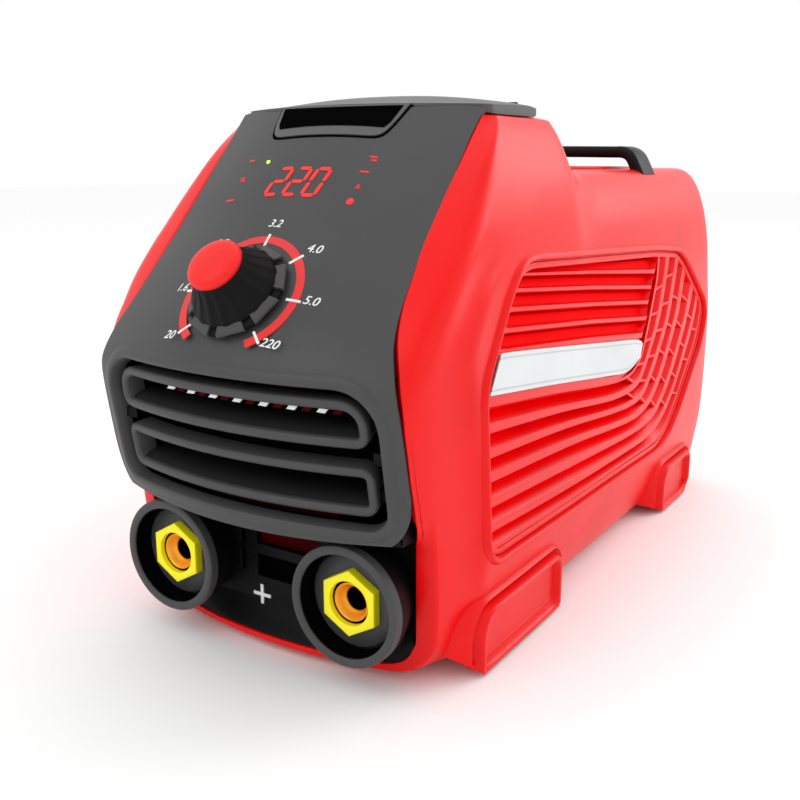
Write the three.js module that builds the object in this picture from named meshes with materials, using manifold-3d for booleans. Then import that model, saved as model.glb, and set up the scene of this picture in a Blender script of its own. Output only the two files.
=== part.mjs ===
// Portable stick welding inverter. Millimetres, +Z up, the control side faces -Y.
// The origin is on the floor, in the middle of the case, on the plane where its two halves meet.
import * as THREE from 'three';
import { mergeVertices } from 'three/addons/utils/BufferGeometryUtils.js';
import { LoftGeometry } from 'three/addons/geometries/LoftGeometry.js';
import Module from 'manifold-3d';

// ---- driving dimensions -------------------------------------------------------------------
const WALL = 2.6;             // moulded wall thickness
const GAP = 0.3;              // clearance between neighbouring pieces
const CASE_REAR = 176;        // y of the rear edge of the case
const CASE_BOTTOM = 3;        // z of the underside of the case
const HUMP_REAR = [-32, 8];   // y where the tall front starts and ends its drop to the rear deck
const FLARE_LENGTH = 45;      // length over which the flanks widen behind the front edge

// Each row is one height on the case side: z and half width at the hump, then at the rear deck.
const LEVELS = [
  [3, 68, 3, 68],
  [8, 76, 8, 76],
  [22, 80, 22, 80],
  [42, 83, 42, 83],
  [80, 84, 80, 84],
  [115, 83.4, 115, 83.4],
  [148, 80.6, 148, 80],
  [170, 78.4, 163, 78],
  [187, 75.4, 176, 76],
  [200, 71.6, 185, 73],
  [211, 67.2, 191.5, 68],
  [217, 63.8, 195, 60],
];

// Height, y of the front edge of the flank, and half width of the front there.
const FRONT_EDGE = [
  [3, -146, 66], [12, -147, 72], [30, -150, 74.6], [60, -155.8, 75.2], [80, -159.6, 75.4],
  [100, -163.2, 74.8], [113, -164.8, 74], [122, -164.2, 72.6], [131, -160.8, 69.4],
  [141, -155.2, 66], [152, -147.4, 63.8], [165, -135.6, 62.4], [190, -112.9, 61.5],
  [205, -98, 61.2], [218, -83.6, 61.6],
];

// The control face is a slope; this is the middle of the dial on it, and its lean from vertical.
const DIAL = new THREE.Vector3(0, -161, 151.5);
const FACE_LEAN = THREE.MathUtils.degToRad(43);
const CROWN_RADIUS = 200;     // the whole front is crowned across its width
const FASCIA_THICK = 3;
const FASCIA_BOTTOM = 62;
const FASCIA_TOP = 217.4;
const VENT = { halfWidth: 67, low: 69, high: 124.5, corner: 11 };
const LOUVRE = { halfWidth: 61.5, rail: 3.6, height: 16.5, rear: -161.2, lows: [75.6, 101.4] };
const TAB = { top: 33, bottom: 25, low: 208.6 };

const SOCKET = { x: 45.6, z: 36, cup: 24.5, front: -161.5, floor: -149, panel: -139 };
const PANEL_THICK = 3;
const LID = { halfWidth: 63.6, low: 218.2, edge: 221.6, crown: 226.6, front: -84, rear: -37 };
const HINGE = { y: -33.2, z: 221.4, pin: 1.5, eye: 3.2 };
const TRAY = { halfWidth: 52, front: -80, rear: -44, low: 170, high: 217.6, wall: 2 };
const HANDLE = { y: 100, depth: 20, top: 206.6, thick: 5.6, topHalf: 56, footHalf: 62.5 };
const WELL = { halfWidth: 44, front: 68, rear: 132, low: 166 };
const FOOT = { outer: 86, inner: 62, top: 29, low: 1.2 };
const FEET = [[-119, -47], [86, 146]];
const REAR_PANEL = 169;       // y of the outer face of the rear panel
const FAN = { z: 92, size: 92, depth: 25, bore: 43, hub: 18 };
const SWITCH = { x: -40, z: 163, width: 30, height: 22 };
const GLAND = { x: 42, z: 163, radius: 11, bore: 5 };
const BOARD_Z = 18;           // underside of the power board

const COLOURS = {
  red: 0xe8202a, grey: 0x4a4b4d, black: 0x141416, lid: 0x55575a, yellow: 0xf7ee00, brass: 0xd99a2b,
  silver: 0xdfe1e4, aluminium: 0xa9adb2, board: 0x17603a, copper: 0xb87333, steel: 0x9a9da1,
  display: 0x2a0d0f, led: 0xc8f03c, rubber: 0x1b1b1d, ferrite: 0x3b3b40, can: 0x26324f,
};

// ---- solids -------------------------------------------------------------------------------
const wasm = await Module();
wasm.setup();

function toSolid(geometry) {
  const bare = new THREE.BufferGeometry();
  bare.setAttribute('position', geometry.attributes.position);
  bare.setIndex(geometry.index);
  const merged = mergeVertices(bare, 1e-3);
  const triangles = [];
  const index = merged.index.array;
  for (let i = 0; i < index.length; i += 3) {
    const [a, b, c] = [index[i], index[i + 1], index[i + 2]];
    if (a !== b && b !== c && c !== a) triangles.push(a, b, c);
  }
  return new wasm.Manifold(new wasm.Mesh({
    numProp: 3,
    vertProperties: Float32Array.from(merged.attributes.position.array),
    triVerts: Uint32Array.from(triangles),
  }));
}

function toGeometry(solid) {
  const mesh = solid.getMesh();
  const geometry = new THREE.BufferGeometry();
  geometry.setAttribute('position', new THREE.BufferAttribute(mesh.vertProperties, 3));
  geometry.setIndex(new THREE.BufferAttribute(mesh.triVerts, 1));
  return geometry;
}

function combine(operation, first, others) {
  let solid = toSolid(first);
  for (const other of others) solid = solid[operation](toSolid(other));
  return toGeometry(solid);
}

const cut = (first, ...others) => combine('subtract', first, others);
const join = (first, ...others) => combine('add', first, others);
const common = (first, ...others) => combine('intersect', first, others);

function mirrorX(geometry) {
  const flipped = geometry.clone().applyMatrix4(new THREE.Matrix4().makeScale(-1, 1, 1));
  if (!flipped.index) {
    flipped.setIndex([...Array(flipped.attributes.position.count).keys()]);
  }
  const index = flipped.index.array;
  for (let i = 0; i < index.length; i += 3) {
    [index[i], index[i + 1]] = [index[i + 1], index[i]];
  }
  return flipped;
}

// ---- shapes -------------------------------------------------------------------------------
function polygon(points) {
  return new THREE.Shape(points.map(([u, v]) => new THREE.Vector2(u, v)));
}

function roundedBox2d(u0, v0, u1, v1, radius) {
  const shape = new THREE.Shape();
  shape.moveTo(u0 + radius, v0);
  shape.lineTo(u1 - radius, v0);
  shape.absarc(u1 - radius, v0 + radius, radius, -Math.PI / 2, 0);
  shape.lineTo(u1, v1 - radius);
  shape.absarc(u1 - radius, v1 - radius, radius, 0, Math.PI / 2);
  shape.lineTo(u0 + radius, v1);
  shape.absarc(u0 + radius, v1 - radius, radius, Math.PI / 2, Math.PI);
  shape.lineTo(u0, v0 + radius);
  shape.absarc(u0 + radius, v0 + radius, radius, Math.PI, 1.5 * Math.PI);
  return shape;
}

function extrude(shape, depth, curveSegments = 5) {
  return new THREE.ExtrudeGeometry(shape, { depth, bevelEnabled: false, curveSegments });
}

// A (y, z) outline extruded from x0 to x1.
function alongX(shape, x0, x1, segments) {
  const turn = new THREE.Matrix4().makeBasis(
    new THREE.Vector3(0, 1, 0), new THREE.Vector3(0, 0, 1), new THREE.Vector3(1, 0, 0));
  return extrude(shape, x1 - x0, segments).applyMatrix4(turn).translate(x0, 0, 0);
}

// An (x, z) outline extruded from y0 to y1.
function alongY(shape, y0, y1, segments) {
  return extrude(shape, y1 - y0, segments).rotateX(Math.PI / 2).translate(0, y1, 0);
}

// An (x, y) outline extruded from z0 to z1.
function alongZ(shape, z0, z1, segments) {
  return extrude(shape, z1 - z0, segments).translate(0, 0, z0);
}

function box(x0, y0, z0, x1, y1, z1) {
  return new THREE.BoxGeometry(x1 - x0, y1 - y0, z1 - z0)
    .translate((x0 + x1) / 2, (y0 + y1) / 2, (z0 + z1) / 2);
}

// A closed (radius, height) profile turned about Z, listed counterclockwise.
function turned(profile, segments = 24) {
  return new THREE.LatheGeometry(profile.map(([r, h]) => new THREE.Vector2(r, h)), segments)
    .rotateX(Math.PI / 2);
}

function rod(radius, length, segments = 16) {
  return new THREE.CylinderGeometry(radius, radius, length, segments).rotateX(Math.PI / 2);
}

// Points a Z-axis piece along -Y, so that its top faces the front.
function facingFront(geometry, x, y, z) {
  return geometry.rotateX(Math.PI / 2).translate(x, y, z);
}

function interpolate(table, at, column) {
  const last = table.length - 1;
  if (at <= table[0][0]) return table[0][column];
  if (at >= table[last][0]) return table[last][column];
  const i = table.findIndex((row) => row[0] > at);
  const [low, high] = [table[i - 1], table[i]];
  return THREE.MathUtils.mapLinear(at, low[0], high[0], low[column], high[column]);
}

// ---- case halves --------------------------------------------------------------------------
function frontEdge(z) {
  return interpolate(FRONT_EDGE, z, 1);
}

function frontHalfWidth(z) {
  return interpolate(FRONT_EDGE, z, 2);
}

// A point on the outer surface, at one level and a distance along the case from 0 to 1.
function casePoint(level, along) {
  const [humpZ, humpX, deckZ, deckX] = level;
  const start = frontEdge(humpZ) + FASCIA_THICK * 1.8;
  const y = THREE.MathUtils.lerp(start, CASE_REAR, along);
  const hump = 1 - THREE.MathUtils.smoothstep(y, ...HUMP_REAR);
  const full = THREE.MathUtils.lerp(deckX, humpX, hump);
  const flare = 1 - Math.min(1, (y - start) / FLARE_LENGTH);
  const rearTuck = Math.max(0, (y - CASE_REAR + 12) / 12);
  const x = THREE.MathUtils.lerp(full, frontHalfWidth(humpZ), flare * flare) - 3 * rearTuck ** 2;
  return new THREE.Vector3(x, y, THREE.MathUtils.lerp(deckZ, humpZ, hump));
}

// One half of the case as a filled block, or its cavity when inset is above 0.
function caseBlock(inset) {
  const stops = [0, 0.04, 0.09, 0.15, 0.22, 0.3, 0.38, 0.43, 0.48, 0.54, 0.62, 0.8, 0.965, 1];
  const sections = LEVELS.map((level, row) => {
    const outer = stops.map((along) => {
      const point = casePoint(level, along);
      point.x -= inset;
      if (row === 0) point.z += inset;
      if (row === LEVELS.length - 1) point.z -= inset;
      if (inset > 0 && along === 0) point.y -= 12;
      if (inset > 0 && along === 1) point.y += 5;
      return point;
    });
    const middle = outer.map((point) => new THREE.Vector3(GAP / 2, point.y, point.z)).reverse();
    return [...outer, ...middle];
  });
  const flat = (section) => section.map((point) => new THREE.Vector3(GAP / 2, point.y, point.z));
  return new LoftGeometry([flat(sections[0]), ...sections, flat(sections[sections.length - 1])]);
}

// A moulded foot: a block that flares out of the lower side.
function footBlock([front, rear], inset) {
  const outline = polygon([
    [FOOT.inner + inset, FOOT.low + inset], [FOOT.outer - inset, FOOT.low + inset],
    [FOOT.outer - inset, FOOT.top - inset], [FOOT.inner + inset, FOOT.top + 18 - inset],
  ]);
  const block = alongY(outline, front + inset, rear - inset);
  const plan = polygon([
    [50, front - 6 + inset], [78, front - 6 + inset], [90, front + 4 + inset], [90, rear - inset],
    [78, rear + 6 - inset], [50, rear + 6 - inset],
  ]);
  return common(block, alongZ(plan, -10, 60));
}

// A slanted slot through the side wall, given by its front and rear middle points in (y, z).
function sideSlot([y0, z0], [y1, z1], height) {
  const half = height / 2;
  const outline = polygon([[y0, z0 - half], [y1, z1 - half], [y1, z1 + half], [y0, z0 + half]]);
  return alongX(outline, 60, 95);
}

function sideSlots() {
  const slots = [];
  for (let i = 0; i < 4; i += 1) {
    slots.push(sideSlot([-92 - 4 * i, 149.6 - 7.2 * i], [58 - 5 * i, 138 - 7 * i], 4.4));
  }
  for (let i = 0; i < 6; i += 1) {
    slots.push(sideSlot([-112, 104 - 10.4 * i], [22 + 11 * i, 90 - 8.2 * i], 5));
  }
  for (let i = 0; i < 4; i += 1) {
    const lean = [[78 + 14 * i, 62 + 7 * i], [92 + 14 * i, 140 - 7 * i]];
    const outline = polygon([
      [lean[0][0] - 3, lean[0][1]], [lean[0][0] + 3, lean[0][1]],
      [lean[1][0] + 3, lean[1][1]], [lean[1][0] - 3, lean[1][1]],
    ]);
    slots.push(alongX(outline, 60, 95));
  }
  return slots;
}

function caseHalf() {
  const feet = FEET.map((span) => footBlock(span, 0));
  const hollowFeet = FEET.map((span) => footBlock(span, WALL));
  const wellWall = box(GAP / 2, WELL.front - WALL, WELL.low - WALL,
    WELL.halfWidth + WALL, WELL.rear + WALL, 194);
  const well = box(-1, WELL.front, WELL.low, WELL.halfWidth, WELL.rear, 210);
  const trayHole = box(-1, TRAY.front - 40, 195, TRAY.halfWidth + 3, TRAY.rear + 2, 230);
  const pads = FEET.map(([front, rear]) => rod(8 + GAP, 5, 16).translate(74, (front + rear) / 2, 1.4));
  const handleScrew = rod(2.4, 20, 12).translate(59.4, HANDLE.y, 190);
  let half = cut(join(caseBlock(0), ...feet), caseBlock(WALL), ...hollowFeet);
  half = join(half, wellWall);
  half = cut(half, well, trayHole, handleScrew, ...sideSlots());
  const padSeats = FEET.map(([front, rear]) => rod(10.5, 4, 16).translate(74, (front + rear) / 2, 5));
  half = cut(join(half, ...padSeats), ...pads);
  return half;
}

// ---- front --------------------------------------------------------------------------------
// The middle line of the front moulding: a grille stretch that leans out, a bend, the slope.
function fasciaLine() {
  const slopeY = (z) => DIAL.y + (z - DIAL.z) * Math.tan(FACE_LEAN);
  const grilleY = (z) => -169.6 - 0.17 * (z - 58);
  const points = [
    [grilleY(54), 54], [grilleY(75), 75], [grilleY(98), 98], [grilleY(112), 112],
    [-179.2, 122], [-177.2, 132], [slopeY(143), 143], [slopeY(160), 160], [slopeY(190), 190],
    [slopeY(224), 224],
  ];
  return new THREE.CatmullRomCurve3(points.map(([y, z]) => new THREE.Vector3(0, y, z)));
}

// A crowned sheet that follows the middle line, between two depths below its outer surface.
function crownedSheet(outerDepth, innerDepth) {
  const drop = (x) => (x * x) / (2 * CROWN_RADIUS);
  const spans = [-80, -60, -40, -20, 0, 20, 40, 60, 80];
  const outer = spans.map((x) => [x, -drop(x) - outerDepth]);
  const inner = spans.map((x) => [x, -drop(x) - innerDepth]).reverse();
  return new THREE.ExtrudeGeometry(polygon([...outer, ...inner]),
    { steps: 16, bevelEnabled: false, extrudePath: fasciaLine() });
}

function fasciaOutline(inset = 0) {
  const side = FRONT_EDGE.filter(([z]) => z > 75 && z < 217).map(([z, , w]) => [w - inset, z]);
  const right = [[0, FASCIA_BOTTOM], [58, FASCIA_BOTTOM], [68, 64.5], [73.6 - inset, 71], ...side,
    [61.5 - inset, FASCIA_TOP], [0, FASCIA_TOP]];
  const left = right.slice(1, -1).map(([x, z]) => [-x, z]).reverse();
  return polygon([...right, ...left]);
}

function ventShape(inset) {
  const v = VENT;
  return roundedBox2d(-v.halfWidth + inset, v.low + inset, v.halfWidth - inset, v.high - inset,
    v.corner - inset);
}

function tabOutline(grow) {
  return polygon([
    [-TAB.top - grow, 230], [-TAB.top - grow, 214], [-TAB.bottom - 3 - grow, TAB.low + 1 - grow],
    [-TAB.bottom, TAB.low - grow], [TAB.bottom, TAB.low - grow],
    [TAB.bottom + 3 + grow, TAB.low + 1 - grow], [TAB.top + grow, 214], [TAB.top + grow, 230],
  ]);
}

// Places a piece made about Z on the control face: up the slope by v, out from it by height.
function onFace(geometry, u, v, height) {
  const drop = (u * u) / (2 * CROWN_RADIUS);
  return geometry.translate(u, v, height - drop)
    .rotateX(Math.PI / 2 - FACE_LEAN).translate(DIAL.x, DIAL.y, DIAL.z);
}

const DISPLAY = { v: 54.5, width: 44, height: 20 };
const LED_AT = [-22.5, 66];

function frontFascia() {
  const block = common(crownedSheet(0, FASCIA_THICK), alongY(fasciaOutline(), -230, -60));
  return cut(block,
    alongY(ventShape(0), -230, -100, 3),
    alongY(tabOutline(0.6), -130, -60),
    onFace(rod(4, 30, 16), 0, 0, 0),
    onFace(box(-DISPLAY.width / 2, -DISPLAY.height / 2, -12, DISPLAY.width / 2,
      DISPLAY.height / 2, 12), 0, DISPLAY.v, 0),
    onFace(rod(1.8, 30, 10), ...LED_AT, 0));
}

// Plan outline of a strip that is crowned like the front, between two y values on the middle.
function crownedStrip(front, rear, halfWidth) {
  const steps = [-1, -0.66, -0.33, 0, 0.33, 0.66, 1].map((t) => t * halfWidth);
  const near = steps.map((x) => [x, front + (x * x) / (2 * CROWN_RADIUS)]);
  const far = steps.map((x) => [x, rear + (x * x) / (2 * CROWN_RADIUS)]).reverse();
  return polygon([...near, ...far]);
}

function louvreRing(low) {
  const { halfWidth: w, rail, height, rear } = LOUVRE;
  const front = -176.5 + (110 - low) * 0.12;
  const ring = cut(
    alongY(roundedBox2d(-w, low, w, low + height, 5), -200, -130, 3),
    alongY(roundedBox2d(-w + rail, low + rail, w - rail, low + height - rail, 2.5), -210, -120, 2));
  return common(ring, alongZ(crownedStrip(front, rear, w + 5), low - 5, low + height + 5));
}

// The black duct behind the vent opening, with three uprights that carry the louvre rings.
function grilleCarrier() {
  const tube = cut(alongY(ventShape(-3), -200, -128, 3), alongY(ventShape(0), -210, -120, 3));
  const duct = common(tube, crownedSheet(FASCIA_THICK + GAP, 18));
  const bars = [-40, 0, 40].map((x) => {
    const front = LOUVRE.rear + 2 * GAP + (x * x) / (2 * CROWN_RADIUS);
    return box(x - 1.5, front, VENT.low - 1, x + 1.5, front + 4, VENT.high + 1);
  });
  return join(duct, ...bars);
}

function socketPanel() {
  const outline = polygon([
    [-62, CASE_BOTTOM + WALL + 1], [62, CASE_BOTTOM + WALL + 1], [71, 16], [71.4, 60.6],
    [-71.4, 60.6], [-71, 16],
  ]);
  const plate = alongY(outline, SOCKET.panel, SOCKET.panel + PANEL_THICK);
  const holes = [-1, 1].map((side) => facingFront(rod(12.4, 20, 24), side * SOCKET.x,
    SOCKET.panel, SOCKET.z));
  const slots = [0, 1, 2].map((i) => box(-14, SOCKET.panel - 5, 36 + 8 * i, 14,
    SOCKET.panel + 9, 40 + 8 * i));
  return cut(plate, ...holes, ...slots);
}

// ---- lid and tray -------------------------------------------------------------------------
function storageLid() {
  const { halfWidth: w, low, edge, crown, front, rear } = LID;
  const arch = new THREE.Shape();
  arch.moveTo(-w, low);
  arch.lineTo(w, low);
  arch.lineTo(w, edge);
  arch.quadraticCurveTo(0, 2 * crown - edge, -w, edge);
  const plan = polygon([
    ...[-1, -0.5, 0, 0.5, 1].map((t) => [t * w, front - 10.5 * (1 - t * t)]),
    [w, rear - 5], [w - 5, rear], [-w + 5, rear], [-w, rear - 5],
  ]);
  const plate = common(alongY(arch, front - 20, rear + 5, 6), alongZ(plan, 210, 230));
  const tab = common(crownedSheet(0, FASCIA_THICK), alongY(tabOutline(0), -130, -60),
    box(-60, -130, 200, 60, -60, low + 1));
  const finger = alongY(roundedBox2d(-29, 211.6, 29, 216.6, 1.5), -130, -60, 2);
  const knuckles = [-34, 34].map((x) => alongX(polygon([
    [rear - 4, low + 0.5], [HINGE.y - 1.5, HINGE.z - HINGE.eye], [HINGE.y + 2.4, HINGE.z - 2.2],
    [HINGE.y + 3.2, HINGE.z], [HINGE.y + 2.2, HINGE.z + 2.4], [HINGE.y, HINGE.z + 3.2],
    [rear - 4, HINGE.z + 1],
  ]), x - 8, x + 8));
  const bores = rod(HINGE.pin + 0.1, 120, 12).rotateY(Math.PI / 2).translate(0, HINGE.y, HINGE.z);
  return cut(join(plate, tab, ...knuckles), finger, bores);
}

function hingePin() {
  return rod(HINGE.pin, 88, 12).rotateY(Math.PI / 2).translate(0, HINGE.y, HINGE.z);
}

function storageTray() {
  const { halfWidth: w, front, rear, low, high, wall } = TRAY;
  const shellBox = box(-w, front, low, w, rear, high);
  const flange = box(-w - 5.5, front - 3, high, w + 5.5, rear, high + 0.4);
  const hollow = box(-w + wall, front + wall, low + wall, w - wall, rear - wall, high + 5);
  return cut(join(shellBox, flange), hollow);
}

// A bracket on the rear edge of the hump that holds one end of the hinge pin.
function hingeBracket(side) {
  const outline = polygon([
    [HINGE.y - 2.6, 217.3], [HINGE.y + 5, 217.3], [HINGE.y + 3.6, HINGE.z + 1.6],
    [HINGE.y + 1.2, HINGE.z + 3], [HINGE.y - 1.4, HINGE.z + 2.6],
  ]);
  const [x0, x1] = side > 0 ? [43, 49] : [-49, -43];
  const eye = rod(HINGE.pin + 0.1, 20, 12).rotateY(Math.PI / 2)
    .translate(side * 41, HINGE.y, HINGE.z);
  return cut(alongX(outline, x0, x1), eye);
}

// ---- knob and electronics on the control face ------------------------------------------------
const KNOB = { skirt: 20.5, skirtTop: 3.6, foot: 15.6, neck: 10.8, neckTop: 15.8, cap: 11, top: 20.6 };

function knobSkirt() {
  const disc = turned([[3.6, 0.5], [KNOB.skirt, 0.5], [KNOB.skirt, 2.2], [KNOB.skirt - 1.2, KNOB.skirtTop],
    [3.6, KNOB.skirtTop], [3.6, 0.5]], 32);
  const notches = [0, 1, 2, 3, 4, 5, 6, 7].map((i) => box(-2.2, 17.6, 2.2, 2.2, 24, 8)
    .rotateZ((i * Math.PI) / 4));
  return cut(disc, ...notches);
}

function knobBody() {
  return turned([[3.4, 3.9], [KNOB.foot, 3.9], [KNOB.neck, KNOB.neckTop], [0, KNOB.neckTop],
    [0, 9], [3.4, 9], [3.4, 3.9]], 24);
}

function knobCap() {
  return turned([[0, 16.1], [KNOB.cap - 0.6, 16.1], [KNOB.cap, 16.8], [KNOB.cap, 18.2],
    [KNOB.cap - 1.4, 19.3], [6, 20.2], [0, KNOB.top]], 28);
}

function controlBoard() {
  return onFace(box(-46, -13, -26, 46, 62, -24.4), 0, 0, 0);
}

// ---- sockets ------------------------------------------------------------------------------
function socketCup() {
  const { cup, front, floor, panel } = SOCKET;
  const [mouth, base, back] = [-front, -floor, -panel + GAP];
  return turned([
    [13.2, back], [cup - 0.8, back], [cup, mouth - 0.8], [cup - 0.8, mouth], [21.6, mouth],
    [20.6, mouth - 1], [17.5, base], [13.2, base], [13.2, back],
  ], 32);
}

function socketInsert() {
  const hexagon = new THREE.CylinderGeometry(13.6, 13.6, 7.2, 6).rotateX(Math.PI / 2)
    .translate(0, 0, -SOCKET.floor + 3.9);
  const barrel = rod(12, 26, 20).translate(0, 0, -SOCKET.panel - 1.6);
  return cut(join(hexagon, barrel), rod(8.9, 60, 20).translate(0, 0, -SOCKET.panel));
}

function socketContact() {
  const sleeve = turned([[0, 118], [8.4, 118], [8.4, 152.4], [6.6, 153.6], [4.7, 153.6],
    [4.7, 130], [0, 130]], 18);
  return sleeve;
}

function socketNut() {
  const hexagon = new THREE.CylinderGeometry(16, 16, 5, 6).rotateX(Math.PI / 2)
    .translate(0, 0, -SOCKET.panel - PANEL_THICK - GAP - 2.5);
  return cut(hexagon, rod(12.3, 300, 20));
}

function busbar(side) {
  const outline = polygon([[-117.6, 24], [-115.6, 24], [-115.6, 46], [-92, 46], [-92, 48],
    [-117.6, 48]]);
  const middle = side * SOCKET.x;
  return alongX(outline, middle - 9, middle + 9);
}

// ---- rear ---------------------------------------------------------------------------------
function rearPanel() {
  const right = LEVELS.map((level) => {
    const point = casePoint(level, 0.965);
    return [point.x - WALL - 1.6, THREE.MathUtils.clamp(point.z, 6.4, 191.2)];
  });
  const left = right.map(([x, z]) => [-x, z]).reverse();
  const plate = alongY(polygon([...right, ...left]), REAR_PANEL - PANEL_THICK, REAR_PANEL);
  const switchHole = box(SWITCH.x - SWITCH.width / 2 + 1, 150, SWITCH.z - SWITCH.height / 2 + 1,
    SWITCH.x + SWITCH.width / 2 - 1, 190, SWITCH.z + SWITCH.height / 2 - 1);
  const glandHole = facingFront(rod(9 + GAP, 40, 16), GLAND.x, REAR_PANEL, GLAND.z);
  const fanHole = facingFront(rod(FAN.bore, 40, 32), 0, REAR_PANEL, FAN.z);
  const screws = SCREWS.map(([x, z]) => facingFront(rod(1.8, 40, 10), x, REAR_PANEL, z));
  return cut(plate, switchHole, glandHole, fanHole, ...screws);
}

const SCREWS = [[-66, 24], [66, 24], [-66, 146], [66, 146]];

function fanGuard() {
  const hoop = (radius) => turned([[radius - 1.2, 0], [radius + 1.2, 0], [radius + 1.2, 2.2],
    [radius - 1.2, 2.2], [radius - 1.2, 0]], 20);
  const bars = [0, 1, 2, 3].map((i) => box(-1.6, 10, 0, 1.6, 45, 2.2)
    .rotateZ(Math.PI / 4 + (i * Math.PI) / 2));
  return join(hoop(12), ...bars, hoop(23), hoop(34), hoop(45)).rotateX(-Math.PI / 2)
    .translate(0, REAR_PANEL + GAP, FAN.z);
}

function fanFrame() {
  const half = FAN.size / 2;
  const rear = REAR_PANEL - PANEL_THICK - GAP;
  const frame = cut(
    alongY(roundedBox2d(-half, FAN.z - half, half, FAN.z + half, 5), rear - FAN.depth, rear, 3),
    facingFront(rod(FAN.bore, 80, 32), 0, rear, FAN.z));
  const hub = facingFront(rod(FAN.hub, 3, 20), 0, rear - FAN.depth + 1.5, FAN.z);
  const struts = [0, 1, 2].map((i) => box(-2, 12, -1.5, 2, FAN.bore + 2, 1.5)
    .rotateZ((i * 2 * Math.PI) / 3).rotateX(Math.PI / 2)
    .translate(0, rear - FAN.depth + 1.5, FAN.z));
  return join(frame, hub, ...struts);
}

function fanRotor() {
  const hub = rod(FAN.hub, 15, 20);
  const blades = [0, 1, 2, 3, 4, 5, 6].map((i) => box(-9, FAN.hub - 4, -0.9, 9, FAN.bore - 2.5, 0.9)
    .rotateY(0.6).rotateZ((i * 2 * Math.PI) / 7));
  return join(hub, ...blades).rotateX(Math.PI / 2)
    .translate(0, REAR_PANEL - PANEL_THICK - GAP - 13, FAN.z);
}

function switchBody() {
  const { x, z, width: w, height: h } = SWITCH;
  const rim = box(x - w / 2 - 1.5, REAR_PANEL + GAP, z - h / 2 - 1.5, x + w / 2 + 1.5,
    REAR_PANEL + 2.3, z + h / 2 + 1.5);
  const body = box(x - w / 2 + 1.4, REAR_PANEL - 22, z - h / 2 + 1.4, x + w / 2 - 1.4,
    REAR_PANEL + 1, z + h / 2 - 1.4);
  const mouth = box(x - w / 2 + 3, REAR_PANEL - 8, z - h / 2 + 3, x + w / 2 - 3,
    REAR_PANEL + 6, z + h / 2 - 3);
  return cut(join(rim, body), mouth);
}

// The rocker pivots on a level axis across its middle; at rest its upper end is pressed in.
function switchRocker() {
  const { x, z, width: w, height: h } = SWITCH;
  const half = h / 2 - 3.4;
  const outline = polygon([[-6, -half + 3], [0.6, -half + 0.4], [1.8, -half + 0.4], [0.4, 0],
    [-0.8, half - 0.4], [-6, half - 3]]);
  return alongX(outline, x - w / 2 + 3.4, x + w / 2 - 3.4).translate(0, REAR_PANEL + 2, z);
}

function glandBody() {
  const hexagon = new THREE.CylinderGeometry(GLAND.radius, GLAND.radius, 5, 6)
    .rotateX(Math.PI / 2).translate(0, 0, 2.5 + GAP);
  const dome = turned([[0, 4], [9, 4], [9, 11], [6.6, 15.2], [0, 15.2]], 20);
  const thread = rod(9, 16, 16).translate(0, 0, -7);
  return cut(join(hexagon, dome, thread), rod(GLAND.bore, 60, 16)).rotateX(-Math.PI / 2)
    .translate(GLAND.x, REAR_PANEL, GLAND.z);
}

function glandNut() {
  const hexagon = new THREE.CylinderGeometry(12.5, 12.5, 4, 6).rotateX(Math.PI / 2);
  return cut(hexagon, rod(9.3, 20, 16)).rotateX(-Math.PI / 2)
    .translate(GLAND.x, REAR_PANEL - PANEL_THICK - GAP - 2, GLAND.z);
}

function panelScrew([x, z]) {
  return turned([[0, -8], [1.5, -8], [1.5, 0.3], [3.4, 0.3], [3.4, 1.4], [2.2, 2.3], [0, 2.3]], 12)
    .rotateX(-Math.PI / 2).translate(x, REAR_PANEL, z);
}

// ---- handle and sides -----------------------------------------------------------------------
function carryHandle() {
  const { top, thick, topHalf, footHalf, y, depth } = HANDLE;
  const foot = 195.4;
  const strap = polygon([
    [-footHalf, foot], [-footHalf + 7, foot], [-topHalf + 5.6, top - thick],
    [topHalf - 5.6, top - thick], [footHalf - 7, foot], [footHalf, foot], [topHalf + 1.4, top - 2],
    [topHalf - 1.4, top], [-topHalf + 1.4, top], [-topHalf - 1.4, top - 2],
  ]);
  const body = alongY(strap, y - depth / 2, y + depth / 2);
  const holes = [-1, 1].map((side) => rod(1.6, 12, 10).translate(side * 59.4, y, 195));
  return cut(body, ...holes);
}

function handleScrew(side) {
  return turned([[0, 185.6], [4, 185.6], [4, 188.4], [1.3, 188.4], [1.3, 200], [0, 200]], 12)
    .translate(side * 59.4, HANDLE.y, 0);
}

function badge() {
  const outline = polygon([[-118, 114.6], [-107, 130.6], [37, 110.8], [43, 107.6], [42, 103],
    [30, 98.2], [10, 99.4]]);
  return alongX(outline, 84.4, 85.9);
}

function rubberFoot([front, rear]) {
  return rod(8, 2.8, 16).translate(74, (front + rear) / 2, 1.4);
}

// ---- inside ---------------------------------------------------------------------------------
function heatsink(side) {
  const fins = [];
  for (let i = 0; i < 7; i += 1) {
    fins.push([22, 30 + 8 * i], [50, 30 + 8 * i], [50, 33 + 8 * i], [22, 33 + 8 * i]);
  }
  const outline = [[16, 26], [22, 26], ...fins, [22, 88], [16, 88]];
  const block = alongY(polygon(outline), -56, 84);
  return side > 0 ? block : mirrorX(block);
}

function coreBlock() {
  const outer = box(-34, -108, 40, 34, -66, 88);
  return cut(outer, box(-23, -99, 30, -8.4, -75, 98), box(8.4, -99, 30, 23, -75, 98));
}

function coreWinding() {
  const outer = alongY(roundedBox2d(-19, 29, 19, 99, 7), -98.6, -75.4, 3);
  return cut(outer, box(-8.7, -110, 39.7, 8.7, -60, 88.3));
}

function choke() {
  return turned([[9, 0], [22, 0], [24, 3], [24, 17], [22, 20], [9, 20], [9, 0]], 20)
    .translate(0, 118, BOARD_Z + 2.6);
}

// ---- assembly -------------------------------------------------------------------------------
const group = new THREE.Group();

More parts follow.
